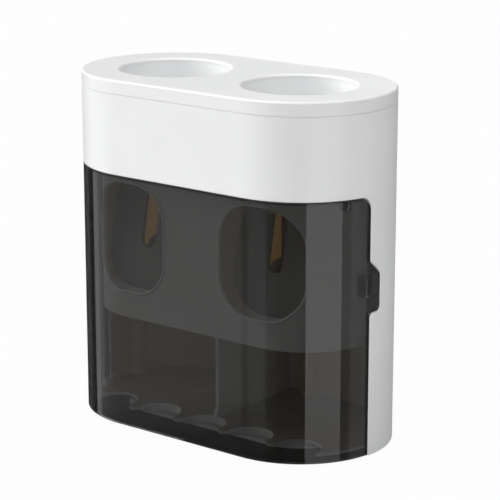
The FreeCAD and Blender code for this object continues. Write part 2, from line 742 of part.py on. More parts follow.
def make_hinge_pins():
    """Two steel pins, one through each lug into the cover's barrel."""
    starts = (size.hinge_pin_recess, cover_height - size.hinge_pin_recess - size.hinge_pin_length)
    pins = [rod("hinge_pin", size.hinge_pin_radius, (hinge_x, hinge_y, level), size.hinge_pin_length)
            for level in starts]
    keep("cover_hinge_pins", group("cover_hinge_pins", pins))


def screw(name, x, y, level, up):
    """One pan-head screw whose head bears on a face at the level."""
    axis = "z" if up else "down"
    sign = 1 if up else -1
    shank = rod(name + "_shank", size.screw_radius, (x, y, level), size.screw_length, axis)
    head_start = (x, y, level - sign * size.screw_head_height)
    head = rod(name + "_head", size.screw_head_radius, head_start, size.screw_head_height, axis)
    return fused(name, head, shank)


def make_upper_deck():
    """Plate between the wells and the pump room, with ears for the press plates and holes for the sockets."""
    ring = inner_radius - size.joint_gap
    plate = stadium_solid("upper_deck_plate", ring, deck_level, deck_top)
    ears = []
    holes = []
    for sign in SIDES.values():
        middle = (sign * unit_offset, as_size(0), deck_level)
        holes.append(rod("socket_hole", size.socket_radius + size.seat_fit, middle, size.deck_wall))
        for start in (-ear_reach - size.ear_wall, ear_reach):
            x = sign * window_middle + start
            low = (x, -ear_front, deck_level - size.ear_drop)
            ears.append(block("hinge_ear", low, (x + size.ear_wall, size.ear_width - ear_front, deck_level)))
            spot = (x, -size.pivot_setback, pivot_level)
            holes.append(rod("pin_hole", size.press_pin_radius + size.seat_fit, spot, size.ear_wall, "x"))
        for x, y in pump_spots(sign):
            holes.append(rod("screw_hole", screw_hole, (x, y, deck_level), size.deck_wall))
    for x, y in deck_posts + panel_posts:
        holes.append(rod("screw_hole", screw_hole, (x, y, deck_level), size.deck_wall))
    whole = fused("upper_deck_body", plate, *ears)
    keep("upper_deck", cut("upper_deck", whole, *holes))
    screws = [screw("deck_screw", x, y, deck_level, up=True) for x, y in deck_posts]
    screws += [screw("deck_screw", x, y, lower_deck_top, up=False) for x, y in rack_posts[:2]]
    keep("deck_screws", group("deck_screws", screws))
    spots = [spot for sign in SIDES.values() for spot in pump_spots(sign)]
    pump_screws = [screw("pump_screw", x, y, deck_top, up=False) for x, y in spots]
    keep("pump_screws", group("pump_screws", pump_screws))


def pump_spots(sign):
    """Plan points of the two screws that hold one pump under the upper deck."""
    middle = sign * unit_offset
    return [(middle + outward * size.pump_screw_offset, as_size(0)) for outward in (-1, 1)]


def make_lower_deck():
    """Plate over the brush bays: inside the panel in front, up to the housing's wall behind."""
    front = stadium_solid("lower_deck_front", panel_inner - size.joint_gap, panel_low, lower_deck_top,
                          panel_half)
    plan = stadium_solid("lower_deck_plan", inner_radius - size.joint_gap, panel_low, lower_deck_top)
    side = panel_half + panel_inner - size.joint_gap
    rear_start = size.web_back + size.joint_gap
    rear = block("lower_deck_rear", (-side, rear_start, panel_low), (side, end_radius, lower_deck_top))
    whole = fused("lower_deck_body", front, shared("lower_deck_back", plan, rear))
    spots = panel_posts + rack_posts[:2]
    holes = [rod("screw_hole", screw_hole, (x, y, panel_low), size.deck_wall) for x, y in spots]
    keep("lower_deck", cut("lower_deck", whole, *holes))


def window_outline(sketch, sign, grow):
    """A window's rounded outline in front view, let out by grow."""
    middle = sign * window_middle
    half = window_width / 2 + grow
    draw_outline(sketch, box_corners(middle - half, window_low - grow, middle + half, window_high + grow,
                                     window_corner + grow))


def window_solid(name, sign, grow, front, back):
    """The window's outline carried from front to back; both are distances in front of the middle plane."""
    body = new_body(name)
    sketch = new_sketch(body, "XZ_Plane", back)
    window_outline(sketch, sign, grow)
    pad(body, sketch, front - back)
    return body


def plate_outline(sketch, grow):
    """A press plate's outline about its pivot, hanging down, let out by grow."""
    half = plate_half + grow
    low = -(size.plate_length + grow)
    high = size.plate_rise + grow
    foot = window_corner + size.plate_margin + grow
    draw_outline(sketch, [(-half, low, foot), (half, low, foot), (half, high, 0), (-half, high, 0)])


def set_on_pivot(thing, sign):
    """Moves a piece drawn about its pivot to its place, leaning forward at its foot."""
    spot = (sign * window_middle, -size.pivot_setback, pivot_level)
    return place(thing, *spot, Vector(1, 0, 0), -size.plate_tilt)


def plate_room(name, sign):
    """The room that a press plate needs at rest and all that lies behind it."""
    body = new_body("plate_room_" + name)
    sketch = new_sketch(body, "XZ_Plane", size.plate_wall / 2 + size.plate_room)
    plate_outline(sketch, size.plate_room)
    pad(body, sketch, end_radius, reverse=True)
    return set_on_pivot(body, sign)


def make_collar(name, sign):
    """Collar behind a window: a tube with the window's outline, cut off along the leaning press plate."""
    inside = stadium_solid("collar_limit_" + name, panel_inner - size.joint_gap, panel_low, deck_level,
                           panel_half)
    tube = window_solid("collar_tube_" + name, sign, size.collar_wall, end_radius, size.collar_back)
    mouth = window_solid("collar_mouth_" + name, sign, as_size(0), end_radius, as_size(0))
    whole = shared("collar_" + name, tube, inside)
    keep("window_collar_" + name, cut("window_collar_" + name, whole, mouth, plate_room(name, sign)))


def make_front_panel():
    """White panel behind the cover: wraps the ends, two windows, webs to the housing."""
    low = panel_low
    outside = stadium_solid("panel_outside", panel_radius, low, deck_level, panel_half)
    inside = stadium_solid("panel_inside", panel_inner, low, deck_level, panel_half)
    half = size.body_width / 2
    front_half = block("panel_front_half", (-half, -end_radius, low), (half, size.web_back, deck_level))
    wall = shared("panel_wall", cut("panel_ring", outside, inside), front_half)

    web_front = size.web_back - size.panel_wall
    room = stadium_solid("panel_room", inner_radius - size.joint_gap, low, deck_level)
    band = block("panel_web_band", (-half, web_front, low), (half, size.web_back, deck_level))
    middle_room = stadium_solid("panel_middle", panel_inner, low, deck_level, panel_half)
    webs = cut("panel_webs", shared("panel_web_slice", room, band), middle_room)

    openings = [window_solid("window_" + name, sign, as_size(0), end_radius, as_size(0))
                for name, sign in SIDES.items()]
    openings += [plate_room(name, sign) for name, sign in SIDES.items()]

    bosses = []
    holes = []
    for x, y in panel_posts:
        for level, axis in ((deck_level, "down"), (lower_deck_top, "z")):
            spot = (x, y, level)
            bosses.append(rod("panel_boss", size.panel_boss_radius, spot, size.panel_boss_height, axis))
            holes.append(rod("boss_hole", screw_hole, spot, screw_hole_depth, axis))

    margin = size.holder_wall
    holder = block("magnet_holder", (magnet_x - margin, magnet_face, magnet_low - margin),
                   (magnet_end + margin, web_front, magnet_high + margin))
    fit = size.seat_fit
    magnet_back_end = magnet_face + size.magnet_length
    seat = block("magnet_seat", (magnet_x - fit, magnet_face - size.magnet_gap, magnet_low - fit),
                 (magnet_end + fit, magnet_back_end, magnet_high + fit))
    whole = fused("front_panel_body", wall, webs, holder, *bosses)
    keep("front_panel", cut("front_panel", whole, seat, *openings, *holes))

    low_corner = (magnet_x, magnet_face, magnet_low)
    high_corner = (magnet_end, magnet_back_end, magnet_high)
    keep("housing_magnet", block("housing_magnet", low_corner, high_corner))
    screws = [screw("panel_screw", x, y, deck_top, up=False) for x, y in panel_posts]
    screws += [screw("panel_screw", x, y, panel_low, up=True) for x, y in panel_posts]
    keep("panel_screws", group("panel_screws", screws))


def make_press_plate(name, sign):
    """Leaning plate behind a window, slotted from above, hung on two knuckles."""
    body = new_body("press_plate_" + name)
    half_wall = size.plate_wall / 2
    outline = new_sketch(body, "XZ_Plane", half_wall)
    plate_outline(outline, as_size(0))
    pad(body, outline, size.plate_wall, reverse=True)
    for low in (-plate_half, plate_half - size.knuckle_length):
        knuckle = new_sketch(body, "YZ_Plane", low)
        draw_circle(knuckle, 0, 0, size.knuckle_radius)
        pad(body, knuckle, size.knuckle_length)
        bore = new_sketch(body, "YZ_Plane", low)
        draw_circle(bore, 0, 0, size.press_pin_radius + size.running_fit)
        pocket(body, bore, size.knuckle_length, along=True)
    for low in (-knuckle_inner, spring_inner):
        notch = new_sketch(body, "XZ_Plane", half_wall)
        notch_end = -(size.knuckle_radius + size.plate_room)
        draw_outline(notch, box_corners(low, notch_end, low + spring_notch, BEYOND))
        pocket(body, notch, size.plate_wall)
    slot_half = size.plate_slot_width / 2
    slot_middle = sign * (unit_offset - window_middle) / 2
    slot = new_sketch(body, "XZ_Plane", half_wall)
    slot_end = slot_half - size.plate_slot_flat / 2
    draw_outline(slot, box_corners(slot_middle - slot_half, -size.plate_slot_length,
                                   slot_middle + slot_half, BEYOND, slot_end))
    pocket(body, slot, size.plate_wall)
    set_on_pivot(body, sign)
    keep("press_plate_" + name, body)


def make_press_pins(name, sign):
    """Two stub pins from the ears into the plate's knuckles."""
    length = size.ear_wall + size.ear_gap + size.knuckle_length + size.ear_gap + size.spring_length
    reach = ear_reach + size.ear_wall
    starts = (sign * window_middle - reach, sign * window_middle + reach - length)
    pins = [rod("press_pin", size.press_pin_radius, (x, -size.pivot_setback, pivot_level), length, "x")
            for x in starts]
    keep("press_pins_" + name, group("press_pins_" + name, pins))


def make_springs(name, sign):
    """Two torsion springs on the stub pins, each with a leg down the back of the plate."""
    outer = size.knuckle_radius
    inner = outer - size.spring_wire
    leg_y = (size.plate_wall + size.spring_wire) / 2 + size.seat_fit
    coil_middle = outer - size.spring_wire / 2
    leg_z = -root(coil_middle * coil_middle - leg_y * leg_y)
    lean_sine = sine(size.plate_tilt)
    lean_cosine = cosine(size.plate_tilt)
    leg_start_y = leg_y * lean_cosine + leg_z * lean_sine - size.pivot_setback
    leg_start_z = leg_z * lean_cosine - leg_y * lean_sine + pivot_level
    springs = []
    for low in (-knuckle_inner + size.ear_gap, spring_inner + size.ear_gap):
        x = sign * window_middle + low
        spot = (x, -size.pivot_setback, pivot_level)
        coil = cut("spring_coil", rod("spring_outside", outer, spot, size.spring_length, "x"),
                   rod("spring_inside", inner, spot, size.spring_length, "x"))
        leg = doc.addObject("Part::Cylinder", "spring_leg")
        bind(leg, Radius=size.spring_wire / 2, Height=size.spring_leg)
        leg_start = (x + size.spring_length / 2, leg_start_y, leg_start_z)
        place(leg, *leg_start, Vector(1, 0, 0), 180 - size.plate_tilt)
        springs.append(fused("spring", coil, leg))
    keep("plate_springs_" + name, group("plate_springs_" + name, springs))


def make_pump(name, sign):
    """Pump under the upper deck: inlet block, two inlet ducts, bore, riser and outlet tube."""
    middle = sign * unit_offset
    half = size.manifold_width / 2
    depth = size.manifold_depth / 2
    manifold = block("manifold", (middle - half, -depth, manifold_low), (middle + half, depth, deck_level))
    barrel_length = size.pump_front + size.pump_back
    barrel = rod("pump_barrel", pump_radius, (middle, -size.pump_front, pump_level), barrel_length, "y")
    half_spacing = size.inlet_spacing / 2
    solids = [manifold, barrel]
    bores = []
    for outward in (-1, 1):
        spot = (middle + outward * half_spacing, as_size(0), pump_level)
        solids.append(rod("inlet_duct", duct_radius, spot, manifold_low - pump_level))
        bores.append(rod("inlet_bore", size.duct_bore / 2, spot, cavity_floor - pump_level))
    riser_y = size.pump_back - size.pump_wall - size.duct_bore / 2
    riser = (middle, riser_y, pump_level)
    solids.append(rod("riser", duct_radius, riser, spout_level - pump_level))
    head_start = (middle, riser_y, spout_level - duct_radius)
    solids.append(rod("riser_head", duct_radius, head_start, 2 * duct_radius))
    tube_length = riser_y + size.spout_reach
    tube = (middle, -size.spout_reach, spout_level)
    solids.append(rod("outlet_tube", size.spout_tube_radius, tube, tube_length, "y"))
    bores.append(rod("outlet_bore", size.spout_tube_bore / 2, tube, tube_length, "y"))
    bores.append(rod("riser_bore", size.spout_tube_bore / 2, riser, spout_level - pump_level))
    bores.append(rod("pump_bore", size.pump_bore / 2, (middle, -size.pump_front, pump_level),
                     barrel_length - size.pump_wall, "y"))
    cavity = (middle, as_size(0), cavity_floor)
    bores.append(rod("cavity", size.socket_radius + size.seat_fit, cavity, deck_level - cavity_floor))
    for x, y in pump_spots(sign):
        bores.append(rod("screw_hole", screw_hole, (x, y, manifold_low), size.manifold_height))
    body = fused("pump_" + name, *solids)
    keep("pump_body_" + name, cut("pump_body_" + name, body, *bores))

    valve = rod("valve_flap", size.socket_radius - size.joint_gap, cavity, size.valve_height)
    mouth = rod("valve_mouth", size.duct_bore / 2, cavity, size.valve_height)
    keep("inlet_valve_" + name, cut("inlet_valve_" + name, valve, mouth))

    sleeve_radius = size.spout_tube_radius + size.spout_sleeve
    sleeve_length = size.spout_tube_radius * 2
    cap = 2 * size.spout_sleeve
    sleeve_start = (middle, -(size.spout_reach + cap), spout_level)
    sleeve = rod("nozzle_sleeve", sleeve_radius, sleeve_start, sleeve_length, "y")
    tip_spot = (middle, -(size.spout_reach + cap) + sleeve_radius, spout_level)
    tip = taper("nozzle_tip", size.spout_root_radius, size.spout_tip_radius, tip_spot,
                size.spout_length, "down")
    socket = rod("nozzle_socket", size.spout_tube_radius + size.seat_fit, tube, sleeve_length, "y")
    mouth = rod("nozzle_mouth", size.spout_tube_bore / 2, tip_spot, size.spout_length, "down")
    nozzle = fused("nozzle_" + name, sleeve, tip)
    keep("outlet_nozzle_" + name, cut("outlet_nozzle_" + name, nozzle, socket, mouth))


def make_piston(name, sign):
    """Piston that slides in the pump's bore, pushed by the plate through its rod, with a soft seal."""
    middle = sign * unit_offset
    bore_radius = size.pump_bore / 2
    head_start = (middle, -(size.piston_face + size.piston_length), pump_level)
    head = rod("piston_head", bore_radius - size.piston_gap, head_start, size.piston_length, "y")
    rod_start = (middle, -rod_front, pump_level)
    rod_length = rod_front - size.piston_face
    shaft = rod("piston_rod", size.rod_radius, rod_start, rod_length, "y")
    groove_y = -(size.piston_face + (size.piston_length + size.seal_length) / 2)
    groove_start = (middle, groove_y, pump_level)
    root_radius = bore_radius - size.seal_depth
    groove = cut("seal_groove", rod("groove_outside", bore_radius, groove_start, size.seal_length, "y"),
                 rod("groove_root", root_radius, groove_start, size.seal_length, "y"))
    keep("pump_piston_" + name, cut("pump_piston_" + name, fused("piston_" + name, head, shaft), groove))
    ring = rod("seal_outside", bore_radius - size.running_fit, groove_start, size.seal_length, "y")
    hollow = rod("seal_inside", root_radius + size.seat_fit, groove_start, size.seal_length, "y")
    keep("piston_seal_" + name, cut("piston_seal_" + name, ring, hollow))


def make_socket(name, sign):
    """Soft socket that grips the neck of an upturned tube: stem in the deck, flange on it, tapered bore."""
    middle = sign * unit_offset
    low = deck_level - size.socket_drop
    total = size.socket_drop + size.deck_wall + size.socket_rise
    stem_length = size.socket_drop + size.deck_wall
    stem = rod("socket_stem", size.socket_radius, (middle, as_size(0), low), stem_length)
    flange = rod("socket_flange", size.socket_flange, (middle, as_size(0), deck_top), size.flange_height)
    lip = taper("socket_lip", size.socket_radius, size.socket_mouth + size.socket_lip,
                (middle, as_size(0), deck_top), size.socket_rise)
    bore = taper("socket_bore", size.socket_throat, size.socket_mouth, (middle, as_size(0), low), total)
    whole = fused("socket_" + name, stem, flange, lip)
    keep("tube_socket_" + name, cut("tube_socket_" + name, whole, bore))


def lug_room(name, height):
    """The corner of the floor that the cover's lower hinge lug needs."""
    corner = (hinge_x + size.barrel_radius + size.cover_gap, hinge_y + size.lug_reach + size.cover_gap)
    return block(name, (-size.body_width / 2, -end_radius, as_size(0)), (*corner, height))


def tip_room(name, height):
    """The room under the rack's overhanging front, round the rack's core."""
    low = as_size(0)
    half = size.body_width / 2
    front = block(name + "_front", (-half, -end_radius, low), (half, low, height))
    return cut(name, front, stadium_solid(name + "_core", size.tip_root, low, height))


def make_rack():
    """Bottom plate with a scalloped, overhanging front edge: five notches for brush handles."""
    low = as_size(0)
    front = stadium_solid("rack_front", end_radius - size.rack_setback, low, size.rack_wall)
    rear = stadium_solid("rack_rear", inner_radius - size.joint_gap, low, size.rack_wall)
    half = size.body_width / 2
    tip_radius = size.notch_tip / 2
    tip_y = tip_radius - size.rack_reach
    front_box = block("rack_front_box", (-half, tip_y, low), (half, end_radius, size.rack_wall))
    rear_box = block("rack_rear_box", (-half, as_size(0), low), (half, end_radius, size.rack_wall))
    tips = [rod("rack_tip", tip_radius, ((step + 0.5) * notch_pitch, tip_y, low), size.rack_wall)
            for step in NOTCH_STEPS[:-1]]
    floor = shared("rack_floor", rear, rear_box)
    whole = fused("rack_body", shared("rack_tips", front, front_box), floor, *tips)
    notch_y = size.notch_depth - size.rack_reach - notch_radius
    tools = [rod("notch", notch_radius, (step * notch_pitch, notch_y, low), size.rack_wall)
             for step in NOTCH_STEPS]
    for step in NOTCH_STEPS:
        middle = step * notch_pitch
        far_corner = (middle + notch_radius, notch_y, size.rack_wall)
        tools.append(block("notch_mouth", (middle - notch_radius, -end_radius, low), far_corner))
    tools.append(lug_room("rack_lug_room", size.rack_wall))
    tools.append(tip_room("tip_rebate", size.rack_wall - size.tip_wall))
    head_level = size.rack_wall - size.screw_head_height
    for x, y in rack_posts:
        tools.append(rod("rack_screw_hole", screw_hole, (x, y, low), size.rack_wall))
        tools.append(rod("rack_head_room", size.screw_head_radius + size.running_fit, (x, y, low),
                         size.rack_wall - size.screw_head_height))
    keep("brush_rack", cut("brush_rack", whole, *tools))
    screws = [screw("rack_screw", x, y, head_level, up=True) for x, y in rack_posts]
    keep("rack_screws", group("rack_screws", screws))


def make_mat():
    """Dark drip mat on the floor, under the rack's overhang and up to the cover."""
    whole = stadium_solid("mat_whole", cover_inside - size.mat_gap, as_size(0), size.mat_wall)
    front = shared("mat_front", whole, tip_room("mat_room", size.mat_wall))
    keep("drip_mat", cut("drip_mat", front, lug_room("mat_lug_room", size.mat_wall)))


def make_divider():
    """Upright wall between the two bays, with a hollow-rounded foot at its front edge."""
    body = new_body("bay_divider")
    side = new_sketch(body, "YZ_Plane", -size.divider_wall / 2)
    front = -size.divider_setback
    foot = front - size.divider_toe
    foot_top = size.rack_wall + size.divider_foot
    back = inner_radius - size.joint_gap
    draw_outline(side, [(foot, size.rack_wall, 0), (back, size.rack_wall, 0), (back, panel_low, 0),
                        (front, panel_low, 0), (front, foot_top, size.divider_foot)])
    pad(body, side, size.divider_wall)
    keep("bay_divider", body)


def check_everything():
    """Stops with a plain message if any object failed or a cut removed nothing."""
    for thing in doc.Objects:
        faults = [state for state in thing.State if state in ("Invalid", "Error")]
        if faults:
            raise RuntimeError("%s failed: %s" % (thing.Label, faults))
        if thing.TypeId == "PartDesign::Pocket":
            base = thing.BaseFeature
            if base is None or thing.Shape.Volume >= base.Shape.Volume - 1e-6:
                raise RuntimeError("%s cuts nothing" % thing.Label)
    for name, thing in nodes.items():
        shape = thing.Shape
        if shape.isNull() or not shape.isValid() or not shape.Solids:
            raise RuntimeError("%s has no valid solid" % name)


def write_parts():
    os.makedirs("parts", exist_ok=True)
    for name, thing in nodes.items():
        thing.Shape.exportStep("parts/%s.step" % name)
        print("%-22s solids %d volume %.1f" % (name, len(thing.Shape.Solids), thing.Shape.Volume))


def main():
    make_housing()
    make_lid()
    make_cover()
    make_hinge_pins()
    make_upper_deck()
    make_lower_deck()
    make_front_panel()
    make_rack()
    make_mat()
    make_divider()
    for name, sign in SIDES.items():
        make_cup(name, sign)
        make_collar(name, sign)
        make_press_plate(name, sign)
        make_press_pins(name, sign)
        make_springs(name, sign)
        make_pump(name, sign)
        make_piston(name, sign)
        make_socket(name, sign)
    doc.recompute()
    check_everything()
    write_parts()


main()
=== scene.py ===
"""Looks of a round-ended toothpaste dispenser with a smoked swing cover.

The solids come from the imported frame. This file gives them their finishes, adds the rounded window beads,
the wound return springs and the recessed screws, and sets the studio."""
import math

import bpy
from bpy.props import FloatProperty, FloatVectorProperty, IntProperty, PointerProperty
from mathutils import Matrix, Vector


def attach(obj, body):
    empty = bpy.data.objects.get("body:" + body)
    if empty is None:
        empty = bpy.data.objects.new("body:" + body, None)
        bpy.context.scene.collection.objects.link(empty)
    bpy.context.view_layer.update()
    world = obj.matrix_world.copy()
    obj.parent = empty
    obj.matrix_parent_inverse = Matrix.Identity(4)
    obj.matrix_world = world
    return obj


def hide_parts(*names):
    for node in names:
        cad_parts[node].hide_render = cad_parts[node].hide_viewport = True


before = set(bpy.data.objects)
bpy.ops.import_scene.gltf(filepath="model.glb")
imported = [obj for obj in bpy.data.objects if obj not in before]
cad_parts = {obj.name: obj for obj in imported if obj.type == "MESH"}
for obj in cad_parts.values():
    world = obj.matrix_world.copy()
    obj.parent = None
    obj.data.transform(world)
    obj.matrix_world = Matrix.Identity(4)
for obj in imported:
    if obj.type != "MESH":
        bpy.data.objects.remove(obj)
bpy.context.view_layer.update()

bl_info = {
    "name": "Toothpaste dispenser looks",
    "version": (1, 0, 0),
    "blender": (4, 5, 0),
    "location": "3D View > Sidebar > Dispenser",
    "description": "Finishes, small pieces and studio of a toothpaste dispenser",
    "category": "Object",
}

MM = 0.001
SIDES = {"left": -1, "right": 1}
BLACK = (0.0, 0.0, 0.0, 1.0)
WHITE = (1.0, 1.0, 1.0, 1.0)

# Plan of the housing: half of its straight part and the radius of its ends
HALF_STRAIGHT = 46.0 * MM
END_RADIUS = 54.0 * MM

# Lower and upper face of each deck, and the pump room between the decks
UPPER_DECK = (150.0 * MM, 152.5 * MM)
LOWER_DECK = (62.5 * MM, 65.0 * MM)
PUMP_ROOM = (LOWER_DECK[1], UPPER_DECK[0])

# Smoked cover: its top, the Y of its right edge outside and in the finger tab, the tab's levels, the stop nub
COVER_TOP = 149.5 * MM
COVER_EDGE = (-7.5 * MM, 1.5 * MM)
TAB_LEVELS = (84.0 * MM, 113.0 * MM)
NUB = (91.44 * MM, -21.68 * MM, 147.0 * MM)

# Tint of the cover: where its dark rim, a painted shade, fades out from the right edge, from the top and from
# the nub's middle, the rim's share in the tab, the tint left in the rim and where the wall is looked along
# (both painted shade), and at which slant
EDGE_FADE = (0.9 * MM, 1.5 * MM)
TOP_FADE = (0.7 * MM, 1.1 * MM)
NUB_FADE = (3.4 * MM, 4.4 * MM)
TAB_SHARE = 0.6
RIM_PAINTED_SHADE = 0.22
LONG_WAY_PAINTED_SHADE = 0.12
LONG_WAY_SLANT = (0.50, 0.585)

# Clouding, smudges and gloss of the cover
COVER_CLOUD = (0.96, 0.96, 0.95)
COVER_SMUDGES = 26.0
COVER_ROUGH = (0.0, 0.05)

# Painted warm shade inside the housing: depth of the white skin, where the warm colour starts at the left and
# at the right end, its fade, its share at the end away from the key lamp, and the painted glow of the light
# through the pump room's wall
SKIN_FADE = (1.3 * MM, 1.9 * MM)
WARM_START = (-14.0 * MM, 24.0 * MM)
WARM_FADE = 17.0 * MM
WARM_FAR_SHARE = 0.45
WALL_GLOW = 0.26

# Drip mat, painted shade with a pale rear of painted light: how far from the end axes its pale rear goes, and
# half the width of the change
MAT_LINE = 28.5 * MM
MAT_FADE = 0.4 * MM

# Shades: cups, rack and beads lighter as painted light, collars mixed with grey as painted shade, yellower
# clouds, duller metal lines
CUP_PAINTED_LIGHT = 1.06
RACK_PAINTED_LIGHT = 1.12
COLLAR_SHADE_MIX = (0.7, 0.12)
CLOUD_YELLOW = 0.995
LINE_DULLER = 0.88

# Relief of the moulded grain and of the metal's lines
GRAIN_DEPTH = 0.2 * MM
LINE_DEPTH = 0.05 * MM
LINE_RELIEF = 0.08

# Painted shade on the rack's faces that look up, painted light on the collars' tops: how far up they look,
# size of the patches and their least share
LOOKS_UP = (0.75, 0.95)
TOP_PATCH_SCALE = 70.0
TOP_PATCH_SHARE = 0.86

# Plan of the front panel's outer face; middle, half sizes and corner rounding of a window
PANEL_STRAIGHT = HALF_STRAIGHT + 4.0 * MM
PANEL_RADIUS = 40.7 * MM
WINDOW_MIDDLE = (47.288 * MM, 110.75 * MM)
WINDOW_HALF = (27.3 * MM, 32.75 * MM)
WINDOW_CORNER = 22.004 * MM

# Fineness of the panel helper's round ends, and how far off the middle its halves start; fineness of the
# beads' corners, cuts in each of their runs, and fineness of their section
PANEL_SIDES = 256
OFF_MIDDLE = 0.001 * MM
CORNER_STEPS = 20
RUN_CUTS = 3
BEAD_STEPS = 4

# Press plates: pivot before the middle plane and its level, lean, and the return springs along the pivot
PIVOT = (-14.6 * MM, 146.5 * MM)
PLATE_TILT = math.radians(11.0)
SPRING_STARTS = (-19.3 * MM, 14.3 * MM)
SPRING_LENGTH = 5.0 * MM
SPRING_COIL = 2.5 * MM
SPRING_LEG = (1.62 * MM, -1.904 * MM, 10.0 * MM)
WIRE_SIDES = 12
TURN_STEPS = 28
WIRE_SMOOTH = math.radians(40)

# Screws: radius and height of the head, radius and length of the shank, the cross recess; rounding of the
# head's rim, how near to its outer face the rim is and how far that face looks out; fineness and smoothing
SCREW_HEAD = (2.5 * MM, 1.6 * MM)
SCREW_SHANK = (1.25 * MM, 10.0 * MM)
SCREW_RECESS = (2.7 * MM, 0.62 * MM, 0.9 * MM)
HEAD_ROUNDING = 0.6 * MM
HEAD_STEPS = 4
HEAD_NEAR = 0.01 * MM
HEAD_FACING = -0.9
SCREW_SIDES = 40
SCREW_SMOOTH = math.radians(35)

# Screw posts: distance from the end axes, the end posts of the rack, the rear posts, the panel's posts, the
# pumps' middle and ears, and the seat of the rack's screws
POST_ORBIT = 47.9 * MM
END_POST_TURN = math.radians(20.0)
END_POST = (HALF_STRAIGHT + POST_ORBIT * math.cos(END_POST_TURN), POST_ORBIT * math.sin(END_POST_TURN))
REAR_POST = 18.0 * MM
PANEL_POSTS = ((0.0, -34.8 * MM), (-84.8 * MM, 0.0), (84.8 * MM, 0.0))
PUMP_MIDDLE = 45.0 * MM
PUMP_EAR = 12.5 * MM
RACK_SEAT = 3.4 * MM

# Places of each group of screws: X, Y, seat level and whether the shank points up
SCREWS = {
    "deck_screws": [(0.0, sign * POST_ORBIT, UPPER_DECK[0], True) for sign in (-1, 1)]
    + [(sign * (HALF_STRAIGHT + POST_ORBIT), 0.0, UPPER_DECK[0], True) for sign in (-1, 1)]
    + [(sign * REAR_POST, POST_ORBIT, LOWER_DECK[1], False) for sign in (-1, 1)],
    "pump_screws": [(sign * PUMP_MIDDLE + ear * PUMP_EAR, 0.0, UPPER_DECK[1], False)
                    for sign in (-1, 1) for ear in (-1, 1)],
    "panel_screws": [(x, y, UPPER_DECK[1], False) for x, y in PANEL_POSTS]
    + [(x, y, LOWER_DECK[0], True) for x, y in PANEL_POSTS],
    "rack_screws": [(sign * REAR_POST, POST_ORBIT, RACK_SEAT, True) for sign in (-1, 1)]
    + [(sign * END_POST[0], END_POST[1], RACK_SEAT, True) for sign in (-1, 1)],
}

# Cards round the object that only mirror rays meet: name, from and to azimuth in degrees, brightness, and
# the share of it that is left at the level that the cover's foot mirrors
CARDS = (
    ("card_left_edge", -150.0, -85.0, 0.02, 1.0),
    ("card_left_line", -85.0, -74.0, 0.9, 1.0),
    ("card_front_left", -74.0, -36.2, 0.49, 0.2),
    ("card_seam", -36.2, -27.0, 0.26, 0.2),
    ("card_front", -27.0, -3.0, 0.47, 0.2),
    ("card_front_edge", -3.0, 10.0, 0.14, 0.2),
    ("card_camera_side", 10.0, 44.5, 0.04, 0.3),
    ("card_strip", 44.5, 87.0, 1.4, 0.7),
    ("card_strip_edge", 87.0, 99.0, 0.22, 1.0),
    ("card_right", 99.0, 122.0, 0.52, 1.0),
    ("card_right_edge", 122.0, 205.0, 0.26, 1.0),
)
CARD_RADIUS = 2.0
CARD_HALF_HEIGHT = 1.6
CARD_FOOT = (-0.72, -0.64)
CARD_STEP = 3.0

# Lamps: azimuth to the right of the front, elevation and softness, in degrees
LAMPS = {"key": (-61.0, 25.0, 40.0), "fill": (42.0, 30.0, 50.0), "top": (0.0, 88.0, 60.0)}

# Floor: its size, how far it lies below the base, and its grey for everything but the camera
FLOOR_SIZE = 24.0
FLOOR_GAP = 0.2 * MM
FLOOR_GREY = (0.6, 0.6, 0.6, 1.0)

# Camera: sensor width in millimetres, nearest and farthest distance that it sees
SENSOR_WIDTH = 36.0
CAMERA_REACH = (0.01, 100.0)


def both(stem):
    """A node's name on the left and on the right."""
    return ["%s_%s" % (stem, side) for side in SIDES]


class DispenserFinishes(bpy.types.PropertyGroup):
    """Colours of the dispenser's materials."""
    shell: FloatVectorProperty(name="Shell", description="White of the housing, lid and cups",
                               subtype="COLOR", default=(0.842, 0.847, 0.854))
    inner: FloatVectorProperty(name="Inner parts", description="White of the panel, rack and divider",
                               subtype="COLOR", default=(0.795, 0.80, 0.815))
    # Painted warm shade for the housing's inner faces and, mixed with grey, for the collars
    inside: FloatVectorProperty(name="Inside faces",
                                description="Warm plastic inside the housing and the collars",
                                subtype="COLOR", default=(0.77, 0.605, 0.37))
    # Painted shade on the rack's upper face
    rack_top: FloatVectorProperty(name="Rack floor", description="Stained upper face of the brush rack",
                                  subtype="COLOR", default=(0.30, 0.26, 0.205))
    # Painted shade: the white press plates are given a grey for the shade deep in their windows
    plate: FloatVectorProperty(name="Press plates", description="Grey of the two press plates",
                               subtype="COLOR", default=(0.31, 0.31, 0.31))
    # Painted shade: a near-black under the rack's overhanging tips
    mat: FloatVectorProperty(name="Drip mat", description="Dark rubber under the brush rack's tips",
                             subtype="COLOR", default=(0.035, 0.035, 0.03))
    deck: FloatVectorProperty(name="Decks", description="White of the two decks",
                              subtype="COLOR", default=(0.74, 0.74, 0.73))
    smoke: FloatVectorProperty(name="Smoke", description="Colour of light that has passed the cover's wall",
                               subtype="COLOR", default=(0.24, 0.236, 0.231))
    pump: FloatVectorProperty(name="Pumps", description="Warm natural plastic of the pumps",
                              subtype="COLOR", default=(0.62, 0.50, 0.36))
    silicone: FloatVectorProperty(name="Silicone", description="Soft sockets, seals and valves",
                                  subtype="COLOR", default=(0.60, 0.60, 0.59))
    steel: FloatVectorProperty(name="Steel", description="Pins and screws",
                               subtype="COLOR", default=(0.62, 0.62, 0.63))
    wire: FloatVectorProperty(name="Spring wire", description="Drawn wire of the return springs",
                              subtype="COLOR", default=(0.50, 0.50, 0.52))
    nickel: FloatVectorProperty(name="Nickel", description="Black nickel plating of the catch magnets",
                                subtype="COLOR", default=(0.13, 0.125, 0.12))
    smoke_index: FloatProperty(name="Cover index", description="Refractive index of the cover's plastic",
                               default=1.49, min=1.0, max=2.0)


